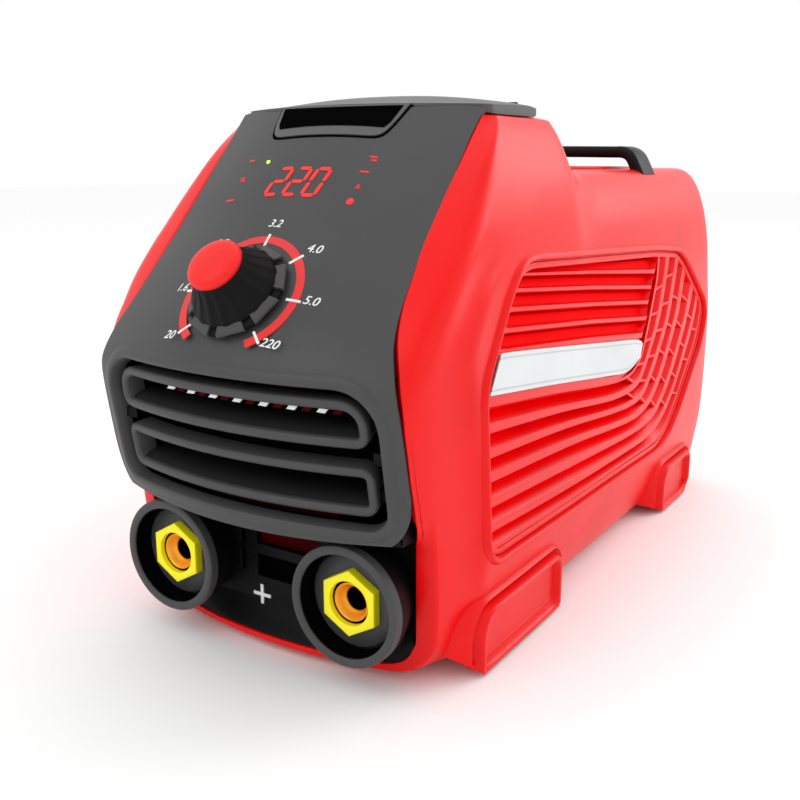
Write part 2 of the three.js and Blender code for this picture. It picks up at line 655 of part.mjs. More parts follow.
function add(name, geometry, colour, roughness = 0.5, metalness = 0) {
  const material = new THREE.MeshStandardMaterial({ color: COLOURS[colour], roughness, metalness });
  const mesh = new THREE.Mesh(geometry, material);
  mesh.name = name;
  group.add(mesh);
}

const SIDES = [['right', 1], ['left', -1]];
const sided = (geometry, side) => (side > 0 ? geometry : mirrorX(geometry));

for (const [name, side] of SIDES) {
  add(`${name}_shell`, sided(caseHalf(), side), 'red', 0.3);
  add(`badge_${name}`, sided(badge(), side), 'silver', 0.35, 0.2);
  add(`hinge_bracket_${name}`, hingeBracket(side), 'grey', 0.55);
  add(`handle_screw_${name}`, handleScrew(side), 'steel', 0.4, 0.9);
  add(`heatsink_${name}`, heatsink(side), 'aluminium', 0.45, 0.9);
  FEET.forEach((span, i) => {
    add(`rubber_foot_${['front', 'rear'][i]}_${name}`, sided(rubberFoot(span), side), 'rubber', 0.9);
  });
}

add('front_fascia', frontFascia(), 'grey', 0.55);
add('grille_carrier', grilleCarrier(), 'black', 0.6);
add('lower_louvre', louvreRing(LOUVRE.lows[0]), 'grey', 0.55);
add('upper_louvre', louvreRing(LOUVRE.lows[1]), 'grey', 0.55);
add('socket_panel', socketPanel(), 'black', 0.5);

add('storage_lid', storageLid(), 'lid', 0.5);
add('lid_hinge_pin', hingePin(), 'steel', 0.4, 0.9);
add('storage_tray', storageTray(), 'black', 0.6);

add('knob_skirt', onFace(knobSkirt(), 0, 0, 0), 'grey', 0.5);
add('control_knob', onFace(knobBody(), 0, 0, 0), 'black', 0.35);
add('knob_cap', onFace(knobCap(), 0, 0, 0), 'red', 0.4);
add('pot_shaft', onFace(rod(3, 26, 24), 0, 0, -4.4), 'steel', 0.35, 0.9);
add('potentiometer', onFace(turned([[3.1, -24], [8.5, -24], [8.5, -11], [5, -11],
  [5, -4], [3.1, -4], [3.1, -24]], 24), 0, 0, 0), 'steel', 0.4, 0.8);
add('control_board', controlBoard(), 'board', 0.6);
add('display_window', onFace(box(-21.6, -9.6, -2.4, 21.6, 9.6, -0.2), 0, DISPLAY.v, 0), 'display', 0.3);
add('display_module', onFace(box(-19, -9, -24, 19, 9, -4.4), 0, DISPLAY.v, 0), 'black', 0.5);
add('indicator_led', onFace(rod(1.5, 4, 10), ...LED_AT, -1.8), 'led', 0.3);

for (const [name, side] of [['positive', 1], ['negative', -1]]) {
  const placed = (geometry) => facingFront(geometry, side * SOCKET.x, 0, SOCKET.z);
  add(`socket_cup_${name}`, placed(socketCup()), 'grey', 0.55);
  add(`socket_insert_${name}`, placed(socketInsert()), 'yellow', 0.45);
  add(`socket_contact_${name}`, placed(socketContact()), 'brass', 0.3, 0.9);
  add(`socket_nut_${name}`, placed(socketNut()), 'black', 0.5);
  add(`busbar_${name}`, busbar(side), 'copper', 0.35, 0.9);
}

add('rear_panel', rearPanel(), 'black', 0.6);
add('fan_guard', fanGuard(), 'black', 0.5);
add('fan_frame', fanFrame(), 'black', 0.5);
add('fan_rotor', fanRotor(), 'black', 0.45);
add('switch_body', switchBody(), 'black', 0.45);
add('switch_rocker', switchRocker(), 'red', 0.4);
add('gland_body', glandBody(), 'black', 0.5);
add('gland_nut', glandNut(), 'black', 0.5);
SCREWS.forEach((at, i) => add(`rear_screw_${i + 1}`, panelScrew(at), 'steel', 0.35, 0.9));

add('carry_handle', carryHandle(), 'black', 0.4);

add('power_board', box(-62, -112, BOARD_Z, 62, 138, BOARD_Z + 2), 'board', 0.6);
add('transformer_core', coreBlock(), 'ferrite', 0.7);
add('transformer_winding', coreWinding(), 'copper', 0.4, 0.6);
add('output_choke', choke(), 'copper', 0.4, 0.6);
[-44, 44].forEach((x, i) => {
  add(`bulk_capacitor_${i + 1}`, rod(15, 42, 16).translate(x, 112, BOARD_Z + 2.4 + 21), 'can', 0.4);
});

export default group;
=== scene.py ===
# Portable stick welding inverter: the looks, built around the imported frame.
# The frame is in metres; the numbers below are in millimetres.
import bpy, bmesh, math
from mathutils import Vector, Matrix


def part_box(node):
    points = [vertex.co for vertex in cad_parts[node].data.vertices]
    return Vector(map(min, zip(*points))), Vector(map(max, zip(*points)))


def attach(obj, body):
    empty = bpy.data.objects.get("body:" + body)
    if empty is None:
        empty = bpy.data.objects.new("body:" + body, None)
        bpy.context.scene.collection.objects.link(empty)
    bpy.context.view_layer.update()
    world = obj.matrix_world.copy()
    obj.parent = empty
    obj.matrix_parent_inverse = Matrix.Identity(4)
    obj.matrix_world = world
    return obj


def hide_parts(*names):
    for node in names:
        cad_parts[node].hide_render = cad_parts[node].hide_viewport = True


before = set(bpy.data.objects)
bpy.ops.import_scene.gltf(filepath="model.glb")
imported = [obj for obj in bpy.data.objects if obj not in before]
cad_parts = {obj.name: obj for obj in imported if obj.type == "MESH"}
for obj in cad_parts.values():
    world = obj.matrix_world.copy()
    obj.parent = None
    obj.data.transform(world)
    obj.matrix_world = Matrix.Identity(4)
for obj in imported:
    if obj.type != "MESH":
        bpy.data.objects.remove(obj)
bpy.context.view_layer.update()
MM = 0.001
WELD = 1e-3 * MM  # points closer than this become one
FACE_Z = 151.5  # height of the knob's axis where it meets the control face
FACE_COS, FACE_SIN = 0.681998, 0.731354  # slope of the control face, 47 degrees
FACE_ORIGIN = Vector((0.0, -161.0, FACE_Z))
FACE_N = Vector((0.0, -FACE_SIN, FACE_COS))  # out of the face
FACE_U = Vector((0.0, FACE_COS, FACE_SIN))  # up its slope
CROWN = 200.0  # radius of the face and of the grille, seen from above
SOCKET_X, SOCKET_Z = 45.6, 36
FAN_Z, GUARD_Y = 92, 170.5
HANDLE_Y = 100

# ---------------------------------------------------------------- maths


def lerp(a, b, t):
    return a + (b - a) * t


def clamp01(t):
    return max(0.0, min(1.0, t))


def smoothstep(a, b, v):
    t = clamp01((v - a) / (b - a))
    return t * t * (3 - 2 * t)


def table(rows, at):
    """Smooth (monotone) interpolation of rows (key, value, value...) at a key."""
    n = len(rows)
    if at <= rows[0][0]:
        return list(rows[0][1:])
    if at >= rows[-1][0]:
        return list(rows[-1][1:])
    i = max(k for k in range(n - 1) if rows[k][0] <= at)
    h = rows[i + 1][0] - rows[i][0]
    t = (at - rows[i][0]) / h
    out = []
    for c in range(1, len(rows[0])):
        def slope(k):
            if k <= 0 or k >= n - 1:
                j = 0 if k <= 0 else n - 2
                return (rows[j + 1][c] - rows[j][c]) / (rows[j + 1][0] - rows[j][0])
            a = (rows[k][c] - rows[k - 1][c]) / (rows[k][0] - rows[k - 1][0])
            b = (rows[k + 1][c] - rows[k][c]) / (rows[k + 1][0] - rows[k][0])
            return 0.0 if a * b <= 0 else 2 * a * b / (a + b)
        p, q = rows[i][c], rows[i + 1][c]
        m0, m1 = slope(i) * h, slope(i + 1) * h
        t2, t3 = t * t, t * t * t
        out.append((2 * t3 - 3 * t2 + 1) * p + (t3 - 2 * t2 + t) * m0
                   + (3 * t2 - 2 * t3) * q + (t3 - t2) * m1)
    return out


def spline(points, t):
    """Catmull-Rom through points, t in 0..len-1."""
    n = len(points)
    i = min(int(t), n - 2)
    u = t - i
    p0, p1, p2, p3 = (points[max(i - 1, 0)], points[i], points[i + 1], points[min(i + 2, n - 1)])
    return [0.5 * (2 * b + (c - a) * u + (2 * a - 5 * b + 4 * c - d) * u * u
                   + (3 * b - a - 3 * c + d) * u ** 3) for a, b, c, d in zip(p0, p1, p2, p3)]


def rounded(points, radii, steps=6):
    """A polyline with each inner corner replaced by a curve; always the same number of points."""
    pts = [Vector(p) for p in points]
    out = [pts[0]]
    for i in range(1, len(pts) - 1):
        a, b, c = pts[i - 1], pts[i], pts[i + 1]
        ra = min(radii[i - 1], (a - b).length * 0.49)
        rc = min(radii[i - 1], (c - b).length * 0.49)
        start = b + (a - b).normalized() * ra if ra > 1e-6 else b.copy()
        end = b + (c - b).normalized() * rc if rc > 1e-6 else b.copy()
        for k in range(steps + 1):
            t = k / steps
            out.append(start * (1 - t) ** 2 + b * 2 * t * (1 - t) + end * t * t)
    out.append(pts[-1])
    return out


def resample(points, count, closed=False):
    pts = [Vector(p) for p in points]
    if closed:
        pts.append(pts[0].copy())
    lengths = [0.0]
    for a, b in zip(pts, pts[1:]):
        lengths.append(lengths[-1] + (b - a).length)
    total, out, j = lengths[-1], [], 0
    n = count if closed else count - 1
    for k in range(count):
        s = total * k / n
        while j < len(pts) - 2 and lengths[j + 1] < s:
            j += 1
        seg = lengths[j + 1] - lengths[j]
        out.append(pts[j].lerp(pts[j + 1], (s - lengths[j]) / seg if seg > 1e-9 else 0))
    return out


# ---------------------------------------------------------------- meshes


def linked_mesh(name, verts, faces, weld):
    """A mesh object in the scene from points in millimetres, its normals facing outwards."""
    mesh = bpy.data.meshes.new(name)
    mesh.from_pydata([(v[0] * MM, v[1] * MM, v[2] * MM) for v in verts], [], faces)
    bm = bmesh.new()
    bm.from_mesh(mesh)
    if weld:
        bmesh.ops.remove_doubles(bm, verts=bm.verts, dist=WELD)
        bmesh.ops.dissolve_degenerate(bm, edges=bm.edges, dist=1e-7)
    bmesh.ops.recalc_face_normals(bm, faces=bm.faces)
    bm.to_mesh(mesh)
    bm.free()
    obj = bpy.data.objects.new(name, mesh)
    bpy.context.scene.collection.objects.link(obj)
    return obj


def make(name, verts, faces, material, body="housing", replaces=(), slot=None, angle=35):
    obj = linked_mesh(name, verts, faces, True)
    obj.data.materials.append(material)
    finish_mesh(obj, angle)
    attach(obj, body)
    if replaces:
        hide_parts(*replaces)
    return obj


def finish_mesh(obj, angle=35):
    obj.data.shade_smooth()
    obj.data.set_sharp_from_angle(angle=math.radians(angle))


def bevel(obj, width, segments=3, angle=40):
    m = obj.modifiers.new("bevel", "BEVEL")
    m.width = width * MM
    m.segments = segments
    m.limit_method = "ANGLE"
    m.angle_limit = math.radians(angle)
    m.harden_normals = False
    return obj


def apply_modifiers(obj, angle=35):
    dg = bpy.context.evaluated_depsgraph_get()
    dg.update()
    mesh = bpy.data.meshes.new_from_object(obj.evaluated_get(dg), preserve_all_data_layers=True, depsgraph=dg)
    obj.modifiers.clear()
    old = obj.data
    obj.data = mesh
    bpy.data.meshes.remove(old)
    finish_mesh(obj, angle)
    return obj


def boolean(obj, cutters):
    """Cuts helper meshes out of a piece and removes them."""
    for cutter in cutters:
        m = obj.modifiers.new("bool", "BOOLEAN")
        m.operation = "DIFFERENCE"
        m.solver = "EXACT"
        m.object = cutter
    apply_modifiers(obj)
    for cutter in cutters:
        bpy.data.objects.remove(cutter)


def loose(name, verts, faces):
    """A helper mesh that is used up by a boolean."""
    return linked_mesh(name, verts, faces, False)


def slab(low, high):
    """A closed solid between two outlines that have the same number of points."""
    n = len(low)
    faces = [tuple(range(n)), tuple(range(2 * n - 1, n - 1, -1))]
    faces += [(i, (i + 1) % n, n + (i + 1) % n, n + i) for i in range(n)]
    return list(low) + list(high), faces


def prism(outline, axis, lo, hi):
    """An outline extruded along an axis; its points are given in the other two axes, in order."""
    def put(p, w):
        if axis == "x":
            return (w, p[0], p[1])
        if axis == "y":
            return (p[0], w, p[1])
        return (p[0], p[1], w)
    return slab([put(p, lo) for p in outline], [put(p, hi) for p in outline])


def round_rect(x0, y0, x1, y1, r, steps=6):
    out = []
    for cx, cy, a0 in ((x1 - r, y0 + r, -90), (x1 - r, y1 - r, 0), (x0 + r, y1 - r, 90),
                       (x0 + r, y0 + r, 180)):
        for k in range(steps + 1):
            a = math.radians(a0 + 90 * k / steps)
            out.append((cx + r * math.cos(a), cy + r * math.sin(a)))
    return out


def grid(rows, closed_u=False, closed_v=False):
    """Faces that join rows of points; returns (verts, faces)."""
    n, m = len(rows), len(rows[0])
    verts = [p for row in rows for p in row]
    faces = []
    for i in range(n if closed_v else n - 1):
        for j in range(m if closed_u else m - 1):
            a, b = i * m + j, i * m + (j + 1) % m
            c, d = ((i + 1) % n) * m + (j + 1) % m, ((i + 1) % n) * m + j
            faces.append((a, b, c, d))
    return verts, faces


def capped(rows):
    """A tube through rings of points, closed at both ends."""
    verts, faces = grid(rows, closed_u=True)
    n, m = len(rows), len(rows[0])
    return verts, faces + [tuple(range(m)), tuple(range(n * m - 1, (n - 1) * m - 1, -1))]


def lathe(profile, segments=64, place=None):
    """A (radius, height) profile turned about the local Z axis."""
    rows = []
    for k in range(segments):
        a = 2 * math.pi * k / segments
        rows.append([Vector((r * math.cos(a), r * math.sin(a), h)) for r, h in profile])
    verts, faces = grid(rows, closed_v=True)
    if place is not None:
        verts = [place @ v for v in verts]
    return verts, faces


def sweep(path, normals, section):
    """Carries a section (across, out) round a closed path; across is to the left, seen from outside."""
    n = len(path)
    rows = []
    for i in range(n):
        t = (path[(i + 1) % n] - path[i - 1]).normalized()
        nn = normals[i].normalized()
        side = nn.cross(t).normalized()
        rows.append([path[i] + side * s + nn * o for s, o in section])
    return grid(rows, closed_u=True, closed_v=True)


def joined(*parts):
    verts, faces = [], []
    for v, f in parts:
        faces += [tuple(i + len(verts) for i in face) for face in f]
        verts += list(v)
    return verts, faces


def moved(part, matrix):
    return [matrix @ Vector(v) for v in part[0]], part[1]


def on_face(u, v, height=0.0):
    """A point on the crowned control face: u across, v up the slope."""
    drop = u * u / (2 * CROWN)
    return FACE_ORIGIN + Vector((u, 0, 0)) + FACE_U * v + FACE_N * (height - drop)


def face_matrix(u=0.0, v=0.0):
    """Local X across, local Y up the slope, local Z out of the control face."""
    origin = on_face(u, v)
    return Matrix(((1, FACE_U.x, FACE_N.x, origin.x), (0, FACE_U.y, FACE_N.y, origin.y),
                   (0, FACE_U.z, FACE_N.z, origin.z), (0, 0, 0, 1)))


FRONT = Matrix(((1, 0, 0, 0), (0, 0, -1, 0), (0, 1, 0, 0), (0, 0, 0, 1)))


def front_matrix(x, z):
    """Local Z points to the front, so a height h sits at y = -h."""
    return Matrix.Translation((x, 0, z)) @ FRONT


# ---------------------------------------------------------------- materials


def material(name, colour, rough=0.4, metal=0.0, bump=0.0, scale=900.0, vary=0.06, ior=1.5, coat=0.0,
             emit=None, strength=0.0, wear=None):
    mat = bpy.data.materials.new(name)
    mat.use_nodes = True
    nodes, links = mat.node_tree.nodes, mat.node_tree.links
    bsdf = nodes["Principled BSDF"]
    bsdf.inputs["Base Color"].default_value = (*colour, 1)
    bsdf.inputs["Roughness"].default_value = rough
    bsdf.inputs["Metallic"].default_value = metal
    bsdf.inputs["IOR"].default_value = ior
    bsdf.inputs["Coat Weight"].default_value = coat
    bsdf.inputs["Coat Roughness"].default_value = 0.12
    coords = nodes.new("ShaderNodeTexCoord")
    cloud = nodes.new("ShaderNodeTexNoise")
    cloud.inputs["Scale"].default_value = 22.0
    cloud.inputs["Detail"].default_value = 4.0
    links.new(coords.outputs["Object"], cloud.inputs["Vector"])
    ramp = nodes.new("ShaderNodeMapRange")
    ramp.inputs["To Min"].default_value = max(0.02, rough - vary)
    ramp.inputs["To Max"].default_value = min(1.0, rough + vary)
    links.new(cloud.outputs["Fac"], ramp.inputs["Value"])
    links.new(ramp.outputs["Result"], bsdf.inputs["Roughness"])
    if bump:
        grain = nodes.new("ShaderNodeTexNoise")
        grain.inputs["Scale"].default_value = scale
        grain.inputs["Detail"].default_value = 3.0
        links.new(coords.outputs["Object"], grain.inputs["Vector"])
        node = nodes.new("ShaderNodeBump")
        node.inputs["Strength"].default_value = bump
        node.inputs["Distance"].default_value = 0.0002
        links.new(grain.outputs["Fac"], node.inputs["Height"])
        links.new(node.outputs["Normal"], bsdf.inputs["Normal"])
    tint = nodes.new("ShaderNodeMix")
    tint.data_type = "RGBA"
    tint.inputs["A"].default_value = (*colour, 1)
    darker = wear if wear else tuple(c * 0.88 for c in colour)
    tint.inputs["B"].default_value = (*darker, 1)
    shade = nodes.new("ShaderNodeMapRange")
    shade.inputs["From Min"].default_value = 0.45
    shade.inputs["From Max"].default_value = 0.8
    links.new(cloud.outputs["Fac"], shade.inputs["Value"])
    links.new(shade.outputs["Result"], tint.inputs["Factor"])
    links.new(tint.outputs["Result"], bsdf.inputs["Base Color"])
    if emit:
        bsdf.inputs["Emission Color"].default_value = (*emit, 1)
        bsdf.inputs["Emission Strength"].default_value = strength
    return mat


RED = material("red_shell", (0.80, 0.0008, 0.0012), rough=0.3, bump=0.05, scale=1400, vary=0.03, ior=1.33)
CAP = material("red_cap", (0.86, 0.006, 0.006), rough=0.45, bump=0.06, ior=1.4)
GREY = material("grey_moulding", (0.050, 0.050, 0.052), rough=0.46, bump=0.25, scale=2200, ior=1.4)
LID = material("lid_plastic", (0.07, 0.071, 0.073), rough=0.42, bump=0.22, scale=2200)
BLACK = material("black_moulding", (0.003, 0.003, 0.0032), rough=0.5, bump=0.15, scale=1800, ior=1.22)
GLOSS_BLACK = material("black_gloss", (0.004, 0.002, 0.002), rough=0.4, bump=0.05, ior=1.24)
# painted shade: a dull black without reflections, for gaps, holes, slots and the backs of vents
SHADE_BLACK = material("painted_shade_black", (0.002, 0.002, 0.002), rough=0.9, ior=1.02)
SCOOP = material("duct_grey", (0.016, 0.016, 0.017), rough=0.55, bump=0.2, scale=2200, ior=1.3)
# painted shade: the shell's red without its sheen, for faces deep in the louvre field
RED_RECESS_SHADE = material("red_recess_painted_shade", (0.92, 0.0004, 0.002), rough=0.5, bump=0.05, scale=1400, ior=1.06)
RED_DARK = material("red_shadow", (0.06, 0.0, 0.001), rough=0.6, ior=1.1)
YELLOW = material("yellow_insulator", (0.95, 0.86, 0.0), rough=0.4, bump=0.08)
BRASS = material("brass", (1.0, 0.42, 0.03), rough=0.34, metal=0.55, bump=0.1, scale=500)
STEEL = material("plated_steel", (0.56, 0.57, 0.58), rough=0.3, metal=1.0, bump=0.1, scale=700)
ALU = material("extruded_aluminium", (0.62, 0.63, 0.65), rough=0.4, metal=1.0, bump=0.2, scale=400)
COPPER = material("copper", (0.75, 0.36, 0.2), rough=0.35, metal=1.0, bump=0.15, scale=600)
BOARD = material("circuit_board", (0.012, 0.09, 0.035), rough=0.45, bump=0.2, scale=300)
SILVER = material("silver_label", (0.66, 0.70, 0.70), rough=0.35, bump=0.05, ior=1.4)
SILVER_DARK = material("label_print", (0.50, 0.53, 0.53), rough=0.4)
RUBBER = material("rubber", (0.012, 0.012, 0.012), rough=0.75, bump=0.3)
FERRITE = material("ferrite", (0.03, 0.03, 0.032), rough=0.6, bump=0.3)
SLEEVE = material("capacitor_sleeve", (0.015, 0.022, 0.09), rough=0.35, bump=0.05)
RED_PRINT = material("red_print", (0.75, 0.02, 0.02), rough=0.5)
WHITE_PRINT = material("white_print", (0.86, 0.86, 0.86), rough=0.5)
GLOW_RED = material("glow_red", (0.5, 0.0, 0.0), rough=0.4, emit=(1.0, 0.02, 0.015), strength=0.75)
GLOW_DIM = material("glow_dim", (0.35, 0.0, 0.0), rough=0.4, emit=(1.0, 0.02, 0.02), strength=0.45)
GLOW_GREEN = material("glow_green", (0.5, 0.8, 0.0), rough=0.4, emit=(0.75, 1.0, 0.05), strength=0.9)
WINDOW = material("display_window", (0.05, 0.05, 0.052), rough=0.4, bump=0.1, scale=2200)

# ---------------------------------------------------------------- the case surface

# height, y and half width of the fascia's edge
FRONT_EDGE = [
    (3, -146, 66), (12, -147, 72), (30, -150, 74.6), (60, -155.8, 75.2), (70, -157.6, 75.5),
    (80, -159.6, 75.4),
    (90, -161.7, 75.1), (100, -163.2, 74.8), (110, -164.5, 74.2), (120, -164.5, 73), (130, -161.2, 70),
    (140, -155.7, 66.3), (150, -148.5, 64.2), (160, -139.9, 63.1), (170, -131.4, 62), (180, -122.2, 61.7),
    (190, -112.9, 61.5), (200, -103.2, 61.3), (210, -93.6, 61), (218, -86.0, 61.4)]
# height, y and x of the crease where the front chamfer meets the flank
CREASE = [
    (20, -141.8, 75.4), (42, -144.0, 76.8), (57, -145.3, 77.1), (70, -147.8, 77.6), (84, -149.8, 77.8),
    (100, -152.4, 77.8), (115, -155.0, 77.4), (128, -156.8, 77.1), (135, -154.5, 77.4), (140, -151.0, 77.9),
    (145, -147.4, 78.7), (150, -144.0, 79.2), (157, -138.6, 79.1), (165, -131.8, 78.6), (172, -125.5, 77.7),
    (181, -117.8, 76.2), (190, -109.8, 74.5), (200, -100.6, 72.0), (208, -92.0, 69.4), (216.2, -82.0, 65.4)]
SECTION = [  # height and half width at the hump, then on the rear deck
    (20, 79.6, 20, 79.6), (42, 82.8, 42, 82.8), (57, 83.7, 57, 83.7), (70, 84, 70, 84), (85, 84.1, 85, 84.1),
    (100, 84, 100, 84), (115, 83.6, 115, 83.5), (128, 82.8, 128, 82.4), (141, 81.9, 140, 81.4),
    (154, 81.0, 151, 80.4), (166, 79.9, 161, 78.8), (176, 78.4, 170, 76.8), (186, 76.4, 178, 74.2),
    (195, 74.2, 184.5, 71.4), (203.5, 71.4, 190, 67.6), (211, 68.0, 193.4, 63.2), (216.4, 64.4, 194.7, 59.4)]
HUMP = [(-36, 1.0), (-32, 0.985), (-28, 0.90), (-23.5, 0.70), (-18, 0.42), (-12, 0.21), (-5, 0.07), (6, 0.0)]
REAR = 176.0
REAR_ROUND = 7.0


def section_at(index, y):
    """Half width and height of one level of the case at y."""
    zh, xh, zd, xd = spline(SECTION, index)
    hump = table(HUMP, y)[0]
    return lerp(xd, xh, hump), lerp(zd, zh, hump)


def to_row(section, y):
    return Vector((section[0], y, section[1]))


def stretch(start, point_at):
    """The part of a row behind the front: (point, inset) from y = start to the rounded rear."""
    hold = max(start + 4.0, -38.0)
    ys = [lerp(start, hold, k / 14) for k in range(1, 15)]
    ys += [lerp(hold, 8.0, k / 26) for k in range(1, 27)]
    ys += [lerp(8.0, REAR - REAR_ROUND, k / 14) for k in range(1, 15)]
    ys += [REAR - REAR_ROUND + REAR_ROUND * math.sin(math.pi / 2 * k / 8) for k in range(1, 9)]
    out = []
    for y in ys:
        x, z = point_at(y)
        d = max(0.0, y - (REAR - REAR_ROUND))
        out.append((Vector((x, y, z)), REAR_ROUND - math.sqrt(max(0.0, REAR_ROUND ** 2 - d * d))))
    return out


def whole_row(front, tail, centre):
    pts = [Vector(p) for p in front]
    for p, inset in tail:
        toward = Vector((centre[0] - p.x, 0, centre[1] - p.z))
        if inset > 0 and toward.length > inset:
            p = p + toward.normalized() * inset
        pts.append(p)
    return pts


def shell_rows():
    """Rows of points from the middle of the underside, round the flank, to the middle of the roof."""
    rows = []
    under = [  # inner lip point, outer lip point, then x and z of the section behind
        ((0, -150.6, 6.4), (0, -150.4, 3.2), (0, 3)), ((14, -150.1, 6.4), (14, -149.9, 3.2), (14, 3)),
        ((28, -148.7, 6.4), (28, -148.5, 3.2), (29, 3)), ((40, -146.6, 6.4), (40.5, -146.4, 3.2), (43, 3)),
        ((49, -144.8, 6.6), (50, -144.4, 3.3), (54, 3)), ((55.5, -143.9, 7.6), (58, -143.4, 4.2), (62, 3.1)),
        ((60.2, -143.7, 9.6), (64.2, -143.0, 6.4), (68, 3.8)),
        ((63.6, -143.7, 12.6), (69.2, -142.6, 9.8), (72.6, 5.6)),
        ((65.8, -143.9, 16.6), (72.8, -142.4, 14.2), (75.8, 9.2)),
        ((67.0, -144.1, 18.8), (74.6, -142.2, 17.2), (78.2, 14.5)),
    ]
    for n in range(3 * (len(under) - 1) + 1):
        e, k = (Vector(spline([u[i] for u in under], n / 3)) for i in (0, 1))
        x, z = spline([u[2] for u in under], n / 3)
        inner = Vector((e.x, e.y + 16, e.z))
        v = Vector((lerp(k.x, x, 0.55), k.y + 14, lerp(k.z, z, 0.6)))
        r = Vector((x, k.y + 26, z))
        s = Vector((x, k.y + 34, z))
        front = rounded([inner, e, k, v, r, s], [0.8, 1.6, 5, 5], 6)
        rows.append(whole_row(front, stretch(s.y, lambda y: (x, z)), (x * 0.6, 40)))
    steps = 4
    for n in range(steps * (len(SECTION) - 1) + 1):
        t = n / steps
        zh = spline(SECTION, t)[0]
        (ye, xe), (yk, xk) = table(FRONT_EDGE, zh), table(CREASE, zh)
        low = smoothstep(58, 76, zh)
        upper = smoothstep(150, 178, zh)
        near = lerp(1.0, 0.3, smoothstep(186, 214, zh))
        e = Vector((lerp(lerp(67.4, 69.0, clamp01((zh - 20) / 38)), xe + 0.3, low),
                    lerp(-144.1 - (zh - 20) * 0.07, ye + lerp(1.4, 0.3, smoothstep(120, 150, zh)), low), zh))
        k = Vector((xk, yk, zh))
        yv = yk + lerp(19.0, 22.0, upper) * near
        xs, zs = section_at(t, yv)
        v = Vector((lerp(min(xk + 3.0, xs - 2.4), lerp(xk, xs, 0.62), upper), yv, zs))
        yr = yv + lerp(9.0, 24.0, upper) * near
        r = to_row(section_at(t, yr), yr)
        s = to_row(section_at(t, yr + 6 * near), yr + 6 * near)
        inner = Vector((e.x - lerp(0.0, 5.0, low), e.y + lerp(16.0, 4.0, low), zh))
        crisp = lerp(1.6, 16.0, smoothstep(70, 160, zh))
        front = rounded([inner, e, k, v, r, s],
                        [0.7, crisp, lerp(7, 14, upper) * near, lerp(3.5, 12, upper) * near], 6)
        rows.append(whole_row(front, stretch(s.y, lambda y: section_at(t, y)), (52, min(zh, 165) * 0.9)))
    last = SECTION[-1]
    for n in range(1, 15):
        t = n / 14
        x_h, x_d = last[1] * (1 - t), last[3] * (1 - t)
        rise = 1 - (1 - min(1.0, t * 5)) ** 2
        z_h, z_d = last[0] + 1.7 * rise, last[2] + 0.3 * rise
        start = -83.4 - 10.2 * (1 - (x_h / 61.8) ** 2) + 3
        front = rounded([Vector((x_h, start + y, z_h + z)) for y, z in
                         ((0, -4), (0, 0), (6, 0), (12, 0), (18, 0), (24, 0))], [0.7, 2, 2, 2], 6)

        def roof(y):
            hump = table(HUMP, y)[0]
            return lerp(x_d, x_h, hump), lerp(z_d, z_h, hump)
        rows.append(whole_row(front, stretch(start + 24, roof), (x_d, 150)))
    return rows


def flank_x(y, z):
    """x of the outer surface of the flank at (y, z), behind the flared front."""
    lo, hi = 0.0, len(SECTION) - 1.0
    for _ in range(24):
        mid = (lo + hi) / 2
        if section_at(mid, y)[1] < z:
            lo = mid
        else:
            hi = mid
    return section_at(lo, y)[0]


def flank_normal(y, z):
    d = 1.0
    dy = (flank_x(y + d, z) - flank_x(y - d, z)) / (2 * d)
    dz = (flank_x(y, z + d) - flank_x(y, z - d)) / (2 * d)
    return Vector((1, -dy, -dz)).normalized()


# ---------------------------------------------------------------- louvre field on the flank

# outline of the field at the inner side of its raised frame, as (y, z), front lower corner first
FIELD = [(-107, 48), (-113, 54), (-116.5, 84), (-118.6, 112), (-117, 118), (-108.4, 130), (-96.7, 146),
         (-86, 156.5), (-77, 158), (3, 154), (73, 150.6), (112, 147), (124, 140.5), (142, 127), (155, 116.5),
         (158.5, 109), (150.6, 93), (134, 77.5), (118, 61), (106, 51), (90, 44), (25, 45.5), (-34, 46.4),
         (-96, 48)]
FIELD_ROUND = 5.0


def rounded_loop(points, radius, steps=4):
    pts = [Vector((p[0], p[1], 0)) for p in points]
    n, out = len(pts), []
    for i in range(n):
        a, b, c = pts[i - 1], pts[i], pts[(i + 1) % n]
        ra, rc = min(radius, (a - b).length * 0.45), min(radius, (c - b).length * 0.45)
        start, end = b + (a - b).normalized() * ra, b + (c - b).normalized() * rc
        for k in range(steps + 1):
            t = k / steps
            out.append(start * (1 - t) ** 2 + b * 2 * t * (1 - t) + end * t * t)
    return [(p.x, p.y) for p in out]


def resample_2d(points, count):
    return [(p.x, p.y) for p in resample([(a, b, 0) for a, b in points], count, closed=True)]


def offset_loop(points, distance):
    """Moves a closed (y, z) outline outwards; works for either direction of travel."""
    n = len(points)
    area = sum(points[i][0] * points[(i + 1) % n][1] - points[(i + 1) % n][0] * points[i][1]
               for i in range(n))
    sign = 1 if area > 0 else -1
    out = []
    for i in range(n):
        ax, ay = points[i - 1]
        bx, by = points[(i + 1) % n]
        tx, ty = bx - ax, by - ay
        length = math.hypot(tx, ty) or 1
        out.append((points[i][0] + sign * ty / length * distance,
                    points[i][1] - sign * tx / length * distance))
    return out


def on_flank(y, z, out=0.0):
    n = flank_normal(y, z)
    return Vector((flank_x(y, z), y, z)) + n * out


